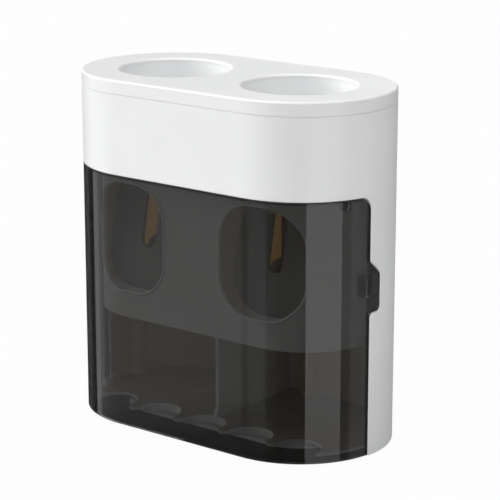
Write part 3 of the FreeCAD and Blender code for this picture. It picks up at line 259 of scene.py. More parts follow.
class DispenserSizes(bpy.types.PropertyGroup):
    """Sizes of the pieces made here."""
    bead_radius: FloatProperty(name="Bead radius", description="Rounding of the beads round the windows",
                               unit="LENGTH", default=0.8 * MM, min=0.2 * MM, max=2.0 * MM)
    spring_wire: FloatProperty(name="Spring wire", description="Thickness of the return springs' wire",
                               unit="LENGTH", default=0.8 * MM, min=0.3 * MM, max=0.9 * MM)
    spring_turns: IntProperty(name="Spring turns", description="Turns of a return spring's coil",
                              default=5, min=2, max=6)


class DispenserStage(bpy.types.PropertyGroup):
    """Camera, lamps and floor of the studio."""
    azimuth: FloatProperty(name="Camera azimuth", description="Camera to the right of the front",
                           subtype="ANGLE", default=math.radians(37.98))
    elevation: FloatProperty(name="Camera elevation", description="Camera above the horizon",
                             subtype="ANGLE", default=math.radians(14.82))
    distance: FloatProperty(name="Camera distance", description="Camera from the point that it looks at",
                            unit="LENGTH", default=1.1835)
    target: FloatVectorProperty(name="Camera target", description="Point that the camera looks at",
                                subtype="TRANSLATION", default=(0.00987, 0.0, 0.10386))
    lens: FloatProperty(name="Lens", description="Focal length in millimetres", unit="CAMERA", default=147.06)
    ambient: FloatProperty(name="Ambient", description="Light of the room", default=0.315, min=0.0)
    key: FloatProperty(name="Key lamp", description="Lamp on the left", default=2.3, min=0.0)
    fill: FloatProperty(name="Fill lamp", description="Lamp on the right of the front", default=0.65, min=0.0)
    top: FloatProperty(name="Top lamp", description="Lamp overhead", default=1.5, min=0.0)
    floor_white: FloatProperty(name="Floor glow", description="How far the floor fades to the white backdrop",
                               default=0.96, min=0.0, max=1.0)


class Graph:
    """Adds nodes to a tree and feeds their sockets."""

    def __init__(self, tree):
        self.tree = tree

    def add(self, kind, feeds=None, **settings):
        """A new node with its settings and with values or sockets for its inputs."""
        node = self.tree.nodes.new(kind)
        for name, value in settings.items():
            setattr(node, name, value)
        for name, value in (feeds or {}).items():
            self.feed(node.inputs[name], value)
        return node

    def feed(self, socket, value):
        """Links an input to an output, or sets its value."""
        if isinstance(value, bpy.types.NodeSocket):
            self.tree.links.new(value, socket)
        else:
            socket.default_value = value

    def split(self, vector):
        """X, Y and Z of a vector."""
        parts = self.add("ShaderNodeSeparateXYZ", {"Vector": vector})
        return [parts.outputs[axis] for axis in "XYZ"]

    def noise(self, vector, scale, detail=2.0, roughness=0.5):
        """Soft noise about one half."""
        feeds = {"Vector": vector, "Scale": scale, "Detail": detail, "Roughness": roughness}
        return self.add("ShaderNodeTexNoise", feeds).outputs["Fac"]

    def calculate(self, operation, first, second):
        """Result of an operation on two values."""
        node = self.add("ShaderNodeMath", operation=operation)
        self.feed(node.inputs[0], first)
        self.feed(node.inputs[1], second)
        return node.outputs[0]

    def spread(self, value, low, high, to_low, to_high):
        """A value taken from one range to another and kept in it."""
        feeds = {"Value": value, "From Min": low, "From Max": high, "To Min": to_low, "To Max": to_high}
        return self.add("ShaderNodeMapRange", feeds).outputs["Result"]

    def between(self, value, low, high):
        """1 between two levels and 0 outside them, with a millimetre to change in."""
        rising = self.spread(value, low, low + MM, 0.0, 1.0)
        return self.calculate("MULTIPLY", rising, self.spread(value, high - MM, high, 1.0, 0.0))

    def blend(self, mask, first, second):
        """Two colours mixed by a mask."""
        node = self.add("ShaderNodeMix", data_type="RGBA")
        self.feed(node.inputs["Factor"], mask)
        self.feed(node.inputs["A"], first)
        self.feed(node.inputs["B"], second)
        return node.outputs["Result"]

    def mix_shaders(self, share, first, second):
        """Two shaders mixed by a share."""
        node = self.add("ShaderNodeMixShader", {"Fac": share})
        self.feed(node.inputs[1], first)
        self.feed(node.inputs[2], second)
        return node.outputs["Shader"]

    def effect(self, build, place, **values):
        """Outputs of a shared effect, whose node group is built at its first use."""
        group = bpy.data.node_groups.get(build.__name__) or build()
        node = self.add("ShaderNodeGroup", node_tree=group)
        self.feed(node.inputs["Vector"], place)
        for name, value in values.items():
            node.inputs[name.replace("_", " ")].default_value = value
        return node.outputs


def effect_group(name, inputs, outputs):
    """An empty shader node group with named sockets: its graph, its input and its output node."""
    tree = bpy.data.node_groups.new(name, "ShaderNodeTree")
    for label, kind, value in inputs:
        socket = tree.interface.new_socket(name=label, in_out="INPUT", socket_type=kind)
        if value is not None:
            socket.default_value = value
    for label, kind in outputs:
        tree.interface.new_socket(name=label, in_out="OUTPUT", socket_type=kind)
    graph = Graph(tree)
    return graph, graph.add("NodeGroupInput"), graph.add("NodeGroupOutput")


def moulded_grain():
    """Fine spark-eroded grain and slow clouding of a moulded face."""
    graph, source, result = effect_group(
        "moulded_grain",
        [("Vector", "NodeSocketVector", None), ("Grain Scale", "NodeSocketFloat", 1500.0),
         ("Cloud Scale", "NodeSocketFloat", 18.0)],
        [("Height", "NodeSocketFloat"), ("Cloud", "NodeSocketFloat")])
    grain = graph.noise(source.outputs["Vector"], source.outputs["Grain Scale"], 3.0, 0.6)
    cloud = graph.noise(source.outputs["Vector"], source.outputs["Cloud Scale"], 2.0)
    graph.feed(result.inputs["Height"], grain)
    graph.feed(result.inputs["Cloud"], graph.spread(cloud, 0.3, 0.7, 0.0, 1.0))
    return graph.tree


def handling_marks():
    """Faint wipe streaks and finger smudges, as a mask."""
    graph, source, result = effect_group(
        "handling_marks",
        [("Vector", "NodeSocketVector", None), ("Smudge Scale", "NodeSocketFloat", 40.0)],
        [("Mask", "NodeSocketFloat")])
    place = source.outputs["Vector"]
    stretched = graph.add("ShaderNodeMapping", {"Vector": place, "Scale": (1.0, 1.0, 0.18)})
    streaks = graph.noise(stretched.outputs["Vector"], 160.0, 4.0, 0.65)
    smudges = graph.noise(place, source.outputs["Smudge Scale"], 3.0, 0.55)
    mixed = graph.calculate("MULTIPLY", graph.spread(streaks, 0.35, 0.75, 0.2, 1.0),
                            graph.spread(smudges, 0.42, 0.68, 0.0, 1.0))
    graph.feed(result.inputs["Mask"], mixed)
    return graph.tree


def drawn_lines():
    """Fine lines round a turned or drawn metal piece, as a mask."""
    graph, source, result = effect_group(
        "drawn_lines",
        [("Vector", "NodeSocketVector", None), ("Stretch", "NodeSocketVector", (300.0, 300.0, 6000.0))],
        [("Mask", "NodeSocketFloat")])
    scaled = graph.add("ShaderNodeVectorMath", operation="MULTIPLY")
    graph.feed(scaled.inputs[0], source.outputs["Vector"])
    graph.feed(scaled.inputs[1], source.outputs["Stretch"])
    lines = graph.noise(scaled.outputs["Vector"], 1.0, 4.0, 0.6)
    graph.feed(result.inputs["Mask"], graph.spread(lines, 0.3, 0.7, 0.0, 1.0))
    return graph.tree


def shaded(colour, share):
    """A colour made lighter or darker."""
    return tuple(min(1.0, channel * share) for channel in colour)


def bare_material(name):
    """A material without nodes, and its graph."""
    material = bpy.data.materials.new(name)
    material.use_nodes = True
    material.node_tree.nodes.clear()
    return material, Graph(material.node_tree)


def new_material(name):
    """A material with object coordinates and a Principled shader: material, graph, place and shader."""
    material, graph = bare_material(name)
    place = graph.add("ShaderNodeTexCoord").outputs["Object"]
    shader = graph.add("ShaderNodeBsdfPrincipled")
    output = graph.add("ShaderNodeOutputMaterial")
    graph.feed(output.inputs["Surface"], shader.outputs["BSDF"])
    return material, graph, place, shader


def add_relief(graph, shader, height, strength, depth):
    """Bumps a shader's surface."""
    bump = graph.add("ShaderNodeBump", {"Height": height, "Strength": strength, "Distance": depth})
    graph.feed(shader.inputs["Normal"], bump.outputs["Normal"])


def moulded_plastic(name, colour, shade=0.965, rough=(0.33, 0.41), grain=1500.0, relief=0.06, **constants):
    """Moulded plastic: slow clouding of its colour, smudges in its gloss and a fine grain."""
    material, graph, place, shader = new_material(name)
    texture = graph.effect(moulded_grain, place, Grain_Scale=grain)
    marks = graph.effect(handling_marks, place)
    deeper = (colour[0] * shade, colour[1] * shade, colour[2] * shade * CLOUD_YELLOW, 1.0)
    graph.feed(shader.inputs["Base Color"], graph.blend(texture["Cloud"], (*colour, 1.0), deeper))
    graph.feed(shader.inputs["Roughness"], graph.spread(marks["Mask"], 0.0, 1.0, *rough))
    add_relief(graph, shader, texture["Height"], relief, GRAIN_DEPTH)
    for socket, value in constants.items():
        shader.inputs[socket.replace("_", " ")].default_value = value
    return material


def cover_rim(graph, place):
    """Mask of the cover's dark rim, a painted shade: its right edge, its finger tab, its top and its stop
    nub.
    """
    x, y, z = graph.split(place)
    edge_line = graph.spread(graph.between(z, *TAB_LEVELS), 0.0, 1.0, *COVER_EDGE)
    edge = graph.spread(graph.calculate("SUBTRACT", edge_line, y), *EDGE_FADE, 1.0, 0.0)
    tab = graph.spread(y, COVER_EDGE[0] - MM, COVER_EDGE[0], 0.0, TAB_SHARE)
    right_end = graph.spread(x, HALF_STRAIGHT, END_RADIUS, 0.0, 1.0)
    right_rim = graph.calculate("MULTIPLY", graph.calculate("MAXIMUM", tab, edge), right_end)
    top_rim = graph.spread(z, COVER_TOP - TOP_FADE[1], COVER_TOP - TOP_FADE[0], 0.0, 1.0)
    away = graph.add("ShaderNodeVectorMath", operation="DISTANCE")
    graph.feed(away.inputs[0], place)
    graph.feed(away.inputs[1], NUB)
    nub = graph.spread(away.outputs["Value"], *NUB_FADE, 1.0, 0.0)
    return graph.calculate("MAXIMUM", graph.calculate("MAXIMUM", right_rim, top_rim), nub)


def smoked_plastic(name, colour, index):
    """Glossy see-through plastic with a painted shade in its rim and where it is looked along; lamps shine
    through it.
    """
    material, graph, place, shader = new_material(name)
    marks = graph.effect(handling_marks, place, Smudge_Scale=COVER_SMUDGES)
    graph.feed(shader.inputs["Roughness"], graph.spread(marks["Mask"], 0.0, 1.0, *COVER_ROUGH))
    texture = graph.effect(moulded_grain, place)
    deeper = tuple(channel * share for channel, share in zip(colour, COVER_CLOUD))
    tint = graph.blend(texture["Cloud"], (*colour, 1.0), (*deeper, 1.0))
    # Painted shade: the cover's rim is darkened
    tint = graph.blend(cover_rim(graph, place), tint, (*shaded(colour, RIM_PAINTED_SHADE), 1.0))
    # Painted shade where the camera looks along the wall, for the longer path of light through it
    slant = graph.add("ShaderNodeLayerWeight", {"Blend": 0.5}).outputs["Facing"]
    long_way = graph.spread(slant, *LONG_WAY_SLANT, 0.0, 1.0)
    tint = graph.blend(long_way, tint, (*shaded(colour, LONG_WAY_PAINTED_SHADE), 1.0))
    graph.feed(shader.inputs["Base Color"], tint)
    shader.inputs["Transmission Weight"].default_value = 1.0
    shader.inputs["IOR"].default_value = index
    path = graph.add("ShaderNodeLightPath")
    half_way = tuple(math.sqrt(channel) for channel in colour)
    clear = graph.add("ShaderNodeBsdfTransparent", {"Color": (*half_way, 1.0)})
    passing = graph.calculate("MAXIMUM", path.outputs["Is Shadow Ray"], path.outputs["Is Diffuse Ray"])
    surface = graph.mix_shaders(passing, shader.outputs["BSDF"], clear.outputs["BSDF"])
    graph.feed(node_of(material, "OUTPUT_MATERIAL").inputs["Surface"], surface)
    return material


def drawn_metal(name, colour, rough=(0.22, 0.38), stretch=(300.0, 300.0, 6000.0)):
    """Bright metal with fine lines in its gloss and its colour."""
    material, graph, place, shader = new_material(name)
    lines = graph.effect(drawn_lines, place, Stretch=stretch)["Mask"]
    tone = graph.blend(lines, (*colour, 1.0), (*shaded(colour, LINE_DULLER), 1.0))
    graph.feed(shader.inputs["Base Color"], tone)
    graph.feed(shader.inputs["Roughness"], graph.spread(lines, 0.0, 1.0, *rough))
    shader.inputs["Metallic"].default_value = 1.0
    add_relief(graph, shader, lines, LINE_RELIEF, LINE_DEPTH)
    return material


def dress(nodes, material):
    """Gives CAD nodes a material."""
    for name in nodes:
        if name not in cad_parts:
            raise RuntimeError("the frame has no node named " + name)
        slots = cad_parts[name].data.materials
        slots.clear()
        slots.append(material)


def finishes():
    """The scene's colours."""
    return bpy.context.scene.dispenser_finishes


def node_of(material, kind):
    """A material's first node of a type."""
    return next(node for node in material.node_tree.nodes if node.type == kind)


def sockets(material):
    """Graph, object coordinates and Principled shader of a finished material."""
    place = node_of(material, "TEX_COORD").outputs["Object"]
    return Graph(material.node_tree), place, node_of(material, "BSDF_PRINCIPLED")


def recolour(graph, shader, mask, colour):
    """Lays another colour over a shader's own, by a mask."""
    own = shader.inputs["Base Color"].links[0].from_socket
    graph.feed(shader.inputs["Base Color"], graph.blend(mask, own, (*colour, 1.0)))


def axis_distance(graph, x, y):
    """Plan distance from the line between the middles of the two round ends."""
    width = graph.add("ShaderNodeMath", operation="ABSOLUTE")
    graph.feed(width.inputs[0], x)
    beyond = graph.calculate("MAXIMUM", graph.calculate("SUBTRACT", width.outputs[0], HALF_STRAIGHT), 0.0)
    flat = graph.add("ShaderNodeCombineXYZ", {"X": beyond, "Y": y})
    distance = graph.add("ShaderNodeVectorMath", operation="LENGTH")
    graph.feed(distance.inputs[0], flat.outputs["Vector"])
    return distance.outputs["Value"]


def pale_rear(material, colour):
    """Gives the drip mat a pale rear half under the brush notches: painted light beside the painted shade of
    its dark front.
    """
    graph, place, shader = sockets(material)
    x, y, _ = graph.split(place)
    rear = graph.spread(axis_distance(graph, x, y), MAT_LINE - MAT_FADE, MAT_LINE + MAT_FADE, 1.0, 0.0)
    recolour(graph, shader, rear, colour)
    return material


def warm_inside(material, colour):
    """Paints warm shade on the faces inside the housing's outer skin, and gives the pump room a painted glow
    for the light that shines through its thin wall, most on the key lamp's side."""
    graph, place, shader = sockets(material)
    x, y, z = graph.split(place)
    half_width = HALF_STRAIGHT + END_RADIUS
    skin = (END_RADIUS - SKIN_FADE[1], END_RADIUS - SKIN_FADE[0])
    inside = graph.spread(axis_distance(graph, x, y), *skin, 1.0, 0.0)
    below = graph.spread(z, PUMP_ROOM[1] - MM, PUMP_ROOM[1], 1.0, 0.0)
    start = graph.spread(x, -half_width, half_width, *WARM_START)
    rear = graph.spread(graph.calculate("SUBTRACT", y, start), 0.0, WARM_FADE, 0.0, 1.0)
    lamp_side = graph.spread(x, HALF_STRAIGHT / 2, half_width, 1.0, WARM_FAR_SHARE)
    mask = graph.calculate("MULTIPLY", graph.calculate("MULTIPLY", inside, below),
                           graph.calculate("MULTIPLY", rear, lamp_side))
    recolour(graph, shader, mask, colour)
    # Painted glow: the pump room's inner faces give out the light that shines through the wall
    room = graph.calculate("MULTIPLY", mask, graph.between(z, *PUMP_ROOM))
    glow = tuple(channel * channel for channel in colour)
    graph.feed(shader.inputs["Emission Color"], graph.blend(room, BLACK, (*glow, 1.0)))
    shader.inputs["Emission Strength"].default_value = WALL_GLOW
    return material


def other_top(material, colour):
    """Gives the faces that look up another colour, a little patchy: painted shade on the rack's floor,
    painted light on the collars' tops.
    """
    graph, place, shader = sockets(material)
    normal = graph.add("ShaderNodeNewGeometry").outputs["Normal"]
    upward = graph.spread(graph.split(normal)[2], *LOOKS_UP, 0.0, 1.0)
    patches = graph.spread(graph.noise(place, TOP_PATCH_SCALE, 4.0, 0.6), 0.3, 0.7, TOP_PATCH_SHARE, 1.0)
    recolour(graph, shader, graph.calculate("MULTIPLY", upward, patches), colour)
    return material


class DISPENSER_OT_shell(bpy.types.Operator):
    """Finishes the white housing, lid and tube cups"""
    bl_idname = "dispenser.shell"
    bl_label = "White shell"

    def execute(self, context):
        colours = finishes()
        dress(["top_lid"], moulded_plastic("white_shell", colours.shell))
        # Painted light: the cups are a lighter copy of the shell's white
        bright = shaded(colours.shell, CUP_PAINTED_LIGHT)
        dress(both("tube_cup"), moulded_plastic("white_cup", bright, rough=(0.36, 0.40)))
        housing = moulded_plastic("white_housing", colours.shell)
        # The housing's inner faces get painted warm shade and a painted glow
        dress(["housing_shell"], warm_inside(housing, colours.inside))
        return {"FINISHED"}


class DISPENSER_OT_cover(bpy.types.Operator):
    """Finishes the smoked swing cover"""
    bl_idname = "dispenser.cover"
    bl_label = "Smoked cover"

    def execute(self, context):
        dress(["front_cover"], smoked_plastic("smoked_cover", finishes().smoke, finishes().smoke_index))
        return {"FINISHED"}


class DISPENSER_OT_inner(bpy.types.Operator):
    """Finishes the panel, collars, press plates, rack, divider and decks"""
    bl_idname = "dispenser.inner"
    bl_label = "Inner parts"

    def execute(self, context):
        colours = finishes()
        white = moulded_plastic("white_inner", colours.inner, rough=(0.34, 0.46), grain=1200.0)
        dress(["front_panel", "bay_divider"], white)
        # Painted light: a lighter copy of the inner white for the rack and the mat's pale rear
        light = shaded(colours.inner, RACK_PAINTED_LIGHT)
        rack = moulded_plastic("white_rack", light, rough=(0.34, 0.46), grain=1200.0)
        # The rack's upper face gets painted shade
        dress(["brush_rack"], other_top(rack, colours.rack_top))
        # Painted shade: the collars' warm grey, with their upper faces kept white as painted light
        muted = tuple(COLLAR_SHADE_MIX[0] * channel + COLLAR_SHADE_MIX[1] for channel in colours.inside)
        warm = moulded_plastic("warm_collar", muted, rough=(0.4, 0.52), grain=1200.0)
        dress(both("window_collar"), other_top(warm, colours.inner))
        # The plates' grey is painted shade
        grey = moulded_plastic("plate_plastic", colours.plate, rough=(0.42, 0.56), grain=1000.0, relief=0.1)
        dress(both("press_plate"), grey)
        # The mat's near-black is painted shade, its pale rear painted light
        rubber = moulded_plastic("mat_rubber", colours.mat, shade=0.8, rough=(0.55, 0.75), grain=600.0,
                                 relief=0.3)
        dress(["drip_mat"], pale_rear(rubber, light))
        deck = moulded_plastic("deck_plastic", colours.deck, rough=(0.5, 0.62), grain=900.0, relief=0.12)
        dress(["upper_deck", "lower_deck"], deck)
        return {"FINISHED"}


class DISPENSER_OT_pumps(bpy.types.Operator):
    """Finishes the pumps, pistons, nozzles and their soft pieces"""
    bl_idname = "dispenser.pumps"
    bl_label = "Pumps"

    def execute(self, context):
        milky = moulded_plastic("pump_plastic", finishes().pump, rough=(0.36, 0.5), grain=1100.0,
                                Subsurface_Weight=0.15, Subsurface_Scale=0.002)
        dress(both("pump_body") + both("pump_piston") + both("outlet_nozzle"), milky)
        soft = moulded_plastic("soft_silicone", finishes().silicone, shade=0.9, rough=(0.52, 0.7),
                               grain=700.0, relief=0.2, Sheen_Weight=0.2, Subsurface_Weight=0.1,
                               Subsurface_Scale=0.002)
        dress(both("tube_socket") + both("piston_seal") + both("inlet_valve"), soft)
        return {"FINISHED"}


class DISPENSER_OT_metal(bpy.types.Operator):
    """Finishes the pins, screws, springs and magnets"""
    bl_idname = "dispenser.metal"
    bl_label = "Metal pieces"

    def execute(self, context):
        colours = finishes()
        steel = drawn_metal("plated_steel", colours.steel)
        dress(["cover_hinge_pins"] + list(SCREWS) + both("press_pins"), steel)
        wire = drawn_metal("spring_wire", colours.wire, rough=(0.28, 0.45), stretch=(5000.0, 900.0, 900.0))
        dress(both("plate_springs"), wire)
        nickel = drawn_metal("magnet_nickel", colours.nickel, rough=(0.12, 0.22))
        dress(["cover_magnet", "housing_magnet"], nickel)
        return {"FINISHED"}


def select_only(thing):
    """Leaves one object selected and active, in object mode."""
    bpy.ops.object.select_all(action="DESELECT")
    thing.select_set(True)
    bpy.context.view_layer.objects.active = thing


def drop(thing):
    """Deletes a helper."""
    select_only(thing)
    bpy.ops.object.delete()


def settle(thing):
    """Puts a piece's place, turn and scale into its mesh."""
    select_only(thing)
    bpy.ops.object.transform_apply(location=True, rotation=True, scale=True)


def apply_modifier(thing, modifier):
    """Makes a modifier's result the piece's mesh."""
    select_only(thing)
    bpy.ops.object.modifier_apply(modifier=modifier.name)


def join(pieces, name):
    """Joins pieces into the first of them, under a new name."""
    select_only(pieces[0])
    for piece in pieces:
        piece.select_set(True)
    bpy.ops.object.join()
    bpy.context.object.name = name
    return bpy.context.object


def panel_helper():
    """A round-ended upright sheet on the front panel's outer face: a cylinder pulled apart at its middle."""
    bpy.ops.object.select_all(action="DESELECT")
    bpy.ops.mesh.primitive_cylinder_add(vertices=PANEL_SIDES, radius=PANEL_RADIUS, depth=2 * PUMP_ROOM[1],
                                        end_fill_type="NOTHING")
    helper = bpy.context.object
    helper.name = "panel_helper"
    for sign in SIDES.values():
        for corner in helper.data.vertices:
            corner.select = corner.co.x * sign > OFF_MIDDLE
        for edge in helper.data.edges:
            edge.select = False
        for face in helper.data.polygons:
            face.select = False
        bpy.ops.object.mode_set(mode="EDIT")
        bpy.ops.mesh.select_mode(type="VERT")
        bpy.ops.transform.translate(value=(sign * PANEL_STRAIGHT, 0.0, 0.0))
        bpy.ops.object.mode_set(mode="OBJECT")
    return helper


class DISPENSER_OT_beads(bpy.types.Operator):
    """Rounded beads round both windows, laid on the panel's curved face"""
    bl_idname = "dispenser.beads"
    bl_label = "Window beads"

    def execute(self, context):
        # Painted highlight: the beads are a lighter copy of the inner white
        light = shaded(finishes().inner, RACK_PAINTED_LIGHT)
        white = moulded_plastic("white_bead", light, rough=(0.28, 0.38), grain=1200.0)
        helper = panel_helper()
        for side, sign in SIDES.items():
            bead = self.make_bead(context.scene.dispenser_sizes, helper, side, sign)
            bead.data.materials.append(white)
            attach(bead, "housing")
        drop(helper)
        return {"FINISHED"}

    def make_bead(self, sizes, helper, side, sign):
        """A window's outline with round corners, laid on the helper and given a round section."""
        bpy.ops.object.select_all(action="DESELECT")
        bpy.ops.mesh.primitive_plane_add(size=1.0, rotation=(math.pi / 2, 0.0, 0.0))
        bead = bpy.context.object
        bead.name = "window_bead_" + side
        bead.scale = (WINDOW_HALF[0] * 2, WINDOW_HALF[1] * 2, 1.0)
        bead.location = (sign * WINDOW_MIDDLE[0], -END_RADIUS, WINDOW_MIDDLE[1])
        settle(bead)
        bpy.ops.object.mode_set(mode="EDIT")
        bpy.ops.mesh.select_all(action="SELECT")
        bpy.ops.mesh.bevel(affect="VERTICES", offset_type="OFFSET", offset=WINDOW_CORNER,
                           segments=CORNER_STEPS)
        bpy.ops.mesh.select_all(action="SELECT")
        bpy.ops.mesh.delete(type="ONLY_FACE")
        bpy.ops.mesh.select_all(action="SELECT")
        bpy.ops.mesh.subdivide(number_cuts=RUN_CUTS)
        bpy.ops.object.mode_set(mode="OBJECT")
        wrap = bead.modifiers.new("lay_on", "SHRINKWRAP")
        wrap.target = helper
        wrap.wrap_method = "PROJECT"
        wrap.use_project_y = True
        wrap.use_positive_direction = True
        apply_modifier(bead, wrap)
        bpy.ops.object.convert(target="CURVE")
        bead.data.bevel_depth = sizes.bead_radius
        bead.data.bevel_resolution = BEAD_STEPS
        bpy.ops.object.convert(target="MESH")
        bpy.ops.object.shade_smooth()
        return bpy.context.object


class DISPENSER_OT_springs(bpy.types.Operator):
    """Wound return springs of the press plates, two on each plate"""
    bl_idname = "dispenser.springs"
    bl_label = "Return springs"

    def execute(self, context):
        sizes = context.scene.dispenser_sizes
        for side, sign in SIDES.items():
            pair = [self.make_spring(sizes, start) for start in SPRING_STARTS]
            springs = join(pair, "wound_springs_" + side)
            springs.rotation_euler = (-PLATE_TILT, 0.0, 0.0)
            springs.location = (sign * WINDOW_MIDDLE[0], PIVOT[0], PIVOT[1])
            settle(springs)
            springs.data.materials.clear()
            springs.data.materials.append(bpy.data.materials["spring_wire"])
            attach(springs, "plate_" + side)
            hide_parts("plate_springs_" + side)
        return {"FINISHED"}

    def make_spring(self, sizes, start):
        """A wire circle wound along the pivot, with a straight leg at its end."""
        wire = sizes.spring_wire / 2
        bpy.ops.object.select_all(action="DESELECT")
        place = (start + wire, SPRING_COIL, 0.0)
        bpy.ops.mesh.primitive_circle_add(vertices=WIRE_SIDES, radius=wire, fill_type="NOTHING",
                                          location=place)
        coil = bpy.context.object
        settle(coil)
        screw = coil.modifiers.new("wind", "SCREW")
        screw.axis = "X"
        screw.angle = 2 * math.pi * sizes.spring_turns
        screw.screw_offset = SPRING_LENGTH - 2 * wire
        screw.steps = TURN_STEPS * sizes.spring_turns
        screw.render_steps = screw.steps
        apply_modifier(coil, screw)
        bpy.ops.object.mode_set(mode="EDIT")
        bpy.ops.mesh.select_all(action="SELECT")
        bpy.ops.mesh.fill_holes(sides=WIRE_SIDES)
        bpy.ops.mesh.select_all(action="SELECT")
        bpy.ops.mesh.normals_make_consistent(inside=False)
        bpy.ops.object.mode_set(mode="OBJECT")
        bpy.ops.object.shade_smooth_by_angle(angle=WIRE_SMOOTH)
        bpy.ops.object.select_all(action="DESELECT")
        middle = (start + SPRING_LENGTH - wire, SPRING_LEG[0], SPRING_LEG[1] - SPRING_LEG[2] / 2)
        bpy.ops.mesh.primitive_cylinder_add(vertices=WIRE_SIDES, radius=wire, depth=SPRING_LEG[2],
                                            location=middle)
        leg = bpy.context.object
        settle(leg)
        bpy.ops.object.shade_smooth_by_angle(angle=WIRE_SMOOTH)
        return join([coil, leg], "spring")


class DISPENSER_OT_screws(bpy.types.Operator):
    """Pan-head screws with a cross recess, one piece for each group"""
    bl_idname = "dispenser.screws"
    bl_label = "Screws"

    def execute(self, context):
        for name, spots in SCREWS.items():
            screws = join([self.make_screw(*spot) for spot in spots], "turned_" + name)
            screws.data.materials.clear()
            screws.data.materials.append(bpy.data.materials["plated_steel"])
            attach(screws, "housing")
            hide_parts(name)
        return {"FINISHED"}

    def make_screw(self, x, y, level, up):
        """A rounded head with a cross recess, and a shank, turned and put in its place."""
        head = self.add_rod(SCREW_HEAD[0], SCREW_HEAD[1], -SCREW_HEAD[1] / 2)
        self.round_rim(head)
        bars = []
        for wide, deep in ((SCREW_RECESS[0], SCREW_RECESS[1]), (SCREW_RECESS[1], SCREW_RECESS[0])):
            bpy.ops.object.select_all(action="DESELECT")
            bpy.ops.mesh.primitive_cube_add(size=1.0, location=(0.0, 0.0, -SCREW_HEAD[1]))
            bars.append(bpy.context.object)
            bars[-1].scale = (wide, deep, 2 * SCREW_RECESS[2])
            settle(bars[-1])
        for bar in bars:
            recess = head.modifiers.new("recess", "BOOLEAN")
            recess.operation = "DIFFERENCE"
            recess.solver = "EXACT"
            recess.object = bar
            apply_modifier(head, recess)
        for bar in bars:
            drop(bar)
        shank = self.add_rod(SCREW_SHANK[0], SCREW_SHANK[1], SCREW_SHANK[1] / 2)
        whole = join([head, shank], "screw")
        whole.location = (x, y, level)
        whole.rotation_euler = (0.0 if up else math.pi, 0.0, 0.0)
        settle(whole)
        bpy.ops.object.shade_smooth_by_angle(angle=SCREW_SMOOTH)
        return whole

    def add_rod(self, radius, length, middle):
        """An upright rod round the screw's axis."""
        bpy.ops.object.select_all(action="DESELECT")
        bpy.ops.mesh.primitive_cylinder_add(vertices=SCREW_SIDES, radius=radius, depth=length,
                                            location=(0.0, 0.0, middle))
        thing = bpy.context.object
        settle(thing)
        return thing

    def round_rim(self, head):
        """Rounds the rim of the head's outer face."""
        rim = -SCREW_HEAD[1] + HEAD_NEAR
        for corner in head.data.vertices:
            corner.select = corner.co.z < rim
        for edge in head.data.edges:
            edge.select = all(head.data.vertices[index].co.z < rim for index in edge.vertices)
        for face in head.data.polygons:
            face.select = face.normal.z < HEAD_FACING
        bpy.ops.object.mode_set(mode="EDIT")
        bpy.ops.mesh.bevel(affect="EDGES", offset=HEAD_ROUNDING, segments=HEAD_STEPS)
        bpy.ops.object.mode_set(mode="OBJECT")


def only_for_mirrors(thing):
    """Keeps a card out of everything but mirror reflections."""
    for ray in ("camera", "diffuse", "transmission", "volume_scatter", "shadow"):
        setattr(thing, "visible_" + ray, False)


def add_card(name, first, last, brightness, foot_share):
    """An upright curved card between two azimuths, dimmer at its foot."""
    bpy.ops.object.select_all(action="DESELECT")
    steps = max(2, int((last - first) / CARD_STEP))
    bpy.ops.mesh.primitive_grid_add(x_subdivisions=steps, y_subdivisions=1, size=2.0)
    card = bpy.context.object
    card.name = name
    for corner in card.data.vertices:
        angle = math.radians(first + (last - first) * (corner.co.x + 1) / 2)
        corner.co = Vector((math.sin(angle) * CARD_RADIUS, -math.cos(angle) * CARD_RADIUS,
                            corner.co.y * CARD_HALF_HEIGHT))
    material, graph = bare_material(name)
    height = graph.split(graph.add("ShaderNodeTexCoord").outputs["Object"])[2]
    strength = graph.spread(height, *CARD_FOOT, brightness * foot_share, brightness)
    glow = graph.add("ShaderNodeEmission", {"Strength": strength})
    graph.feed(graph.add("ShaderNodeOutputMaterial").inputs["Surface"], glow.outputs["Emission"])
    card.data.materials.append(material)
    only_for_mirrors(card)


def direction(turn, lift):
    """Unit vector at an azimuth to the right of the front and an elevation, in radians."""
    return Vector((math.sin(turn) * math.cos(lift), -math.cos(turn) * math.cos(lift), math.sin(lift)))


def place_aimed(name, data, back):
    """Puts a lamp or a camera into the scene, with its back to a direction."""
    thing = bpy.data.objects.new(name, data)
    bpy.context.scene.collection.objects.link(thing)
    thing.rotation_mode = "QUATERNION"
    thing.rotation_quaternion = back.to_track_quat("Z", "Y")
    return thing


def add_sun(name, strength, azimuth, elevation, softness):
    """A soft distant lamp at an azimuth to the right of the front and an elevation, in degrees."""
    lamp = bpy.data.lights.new(name, "SUN")
    lamp.energy = strength
    lamp.angle = math.radians(softness)
    place_aimed(name, lamp, direction(math.radians(azimuth), math.radians(elevation)))


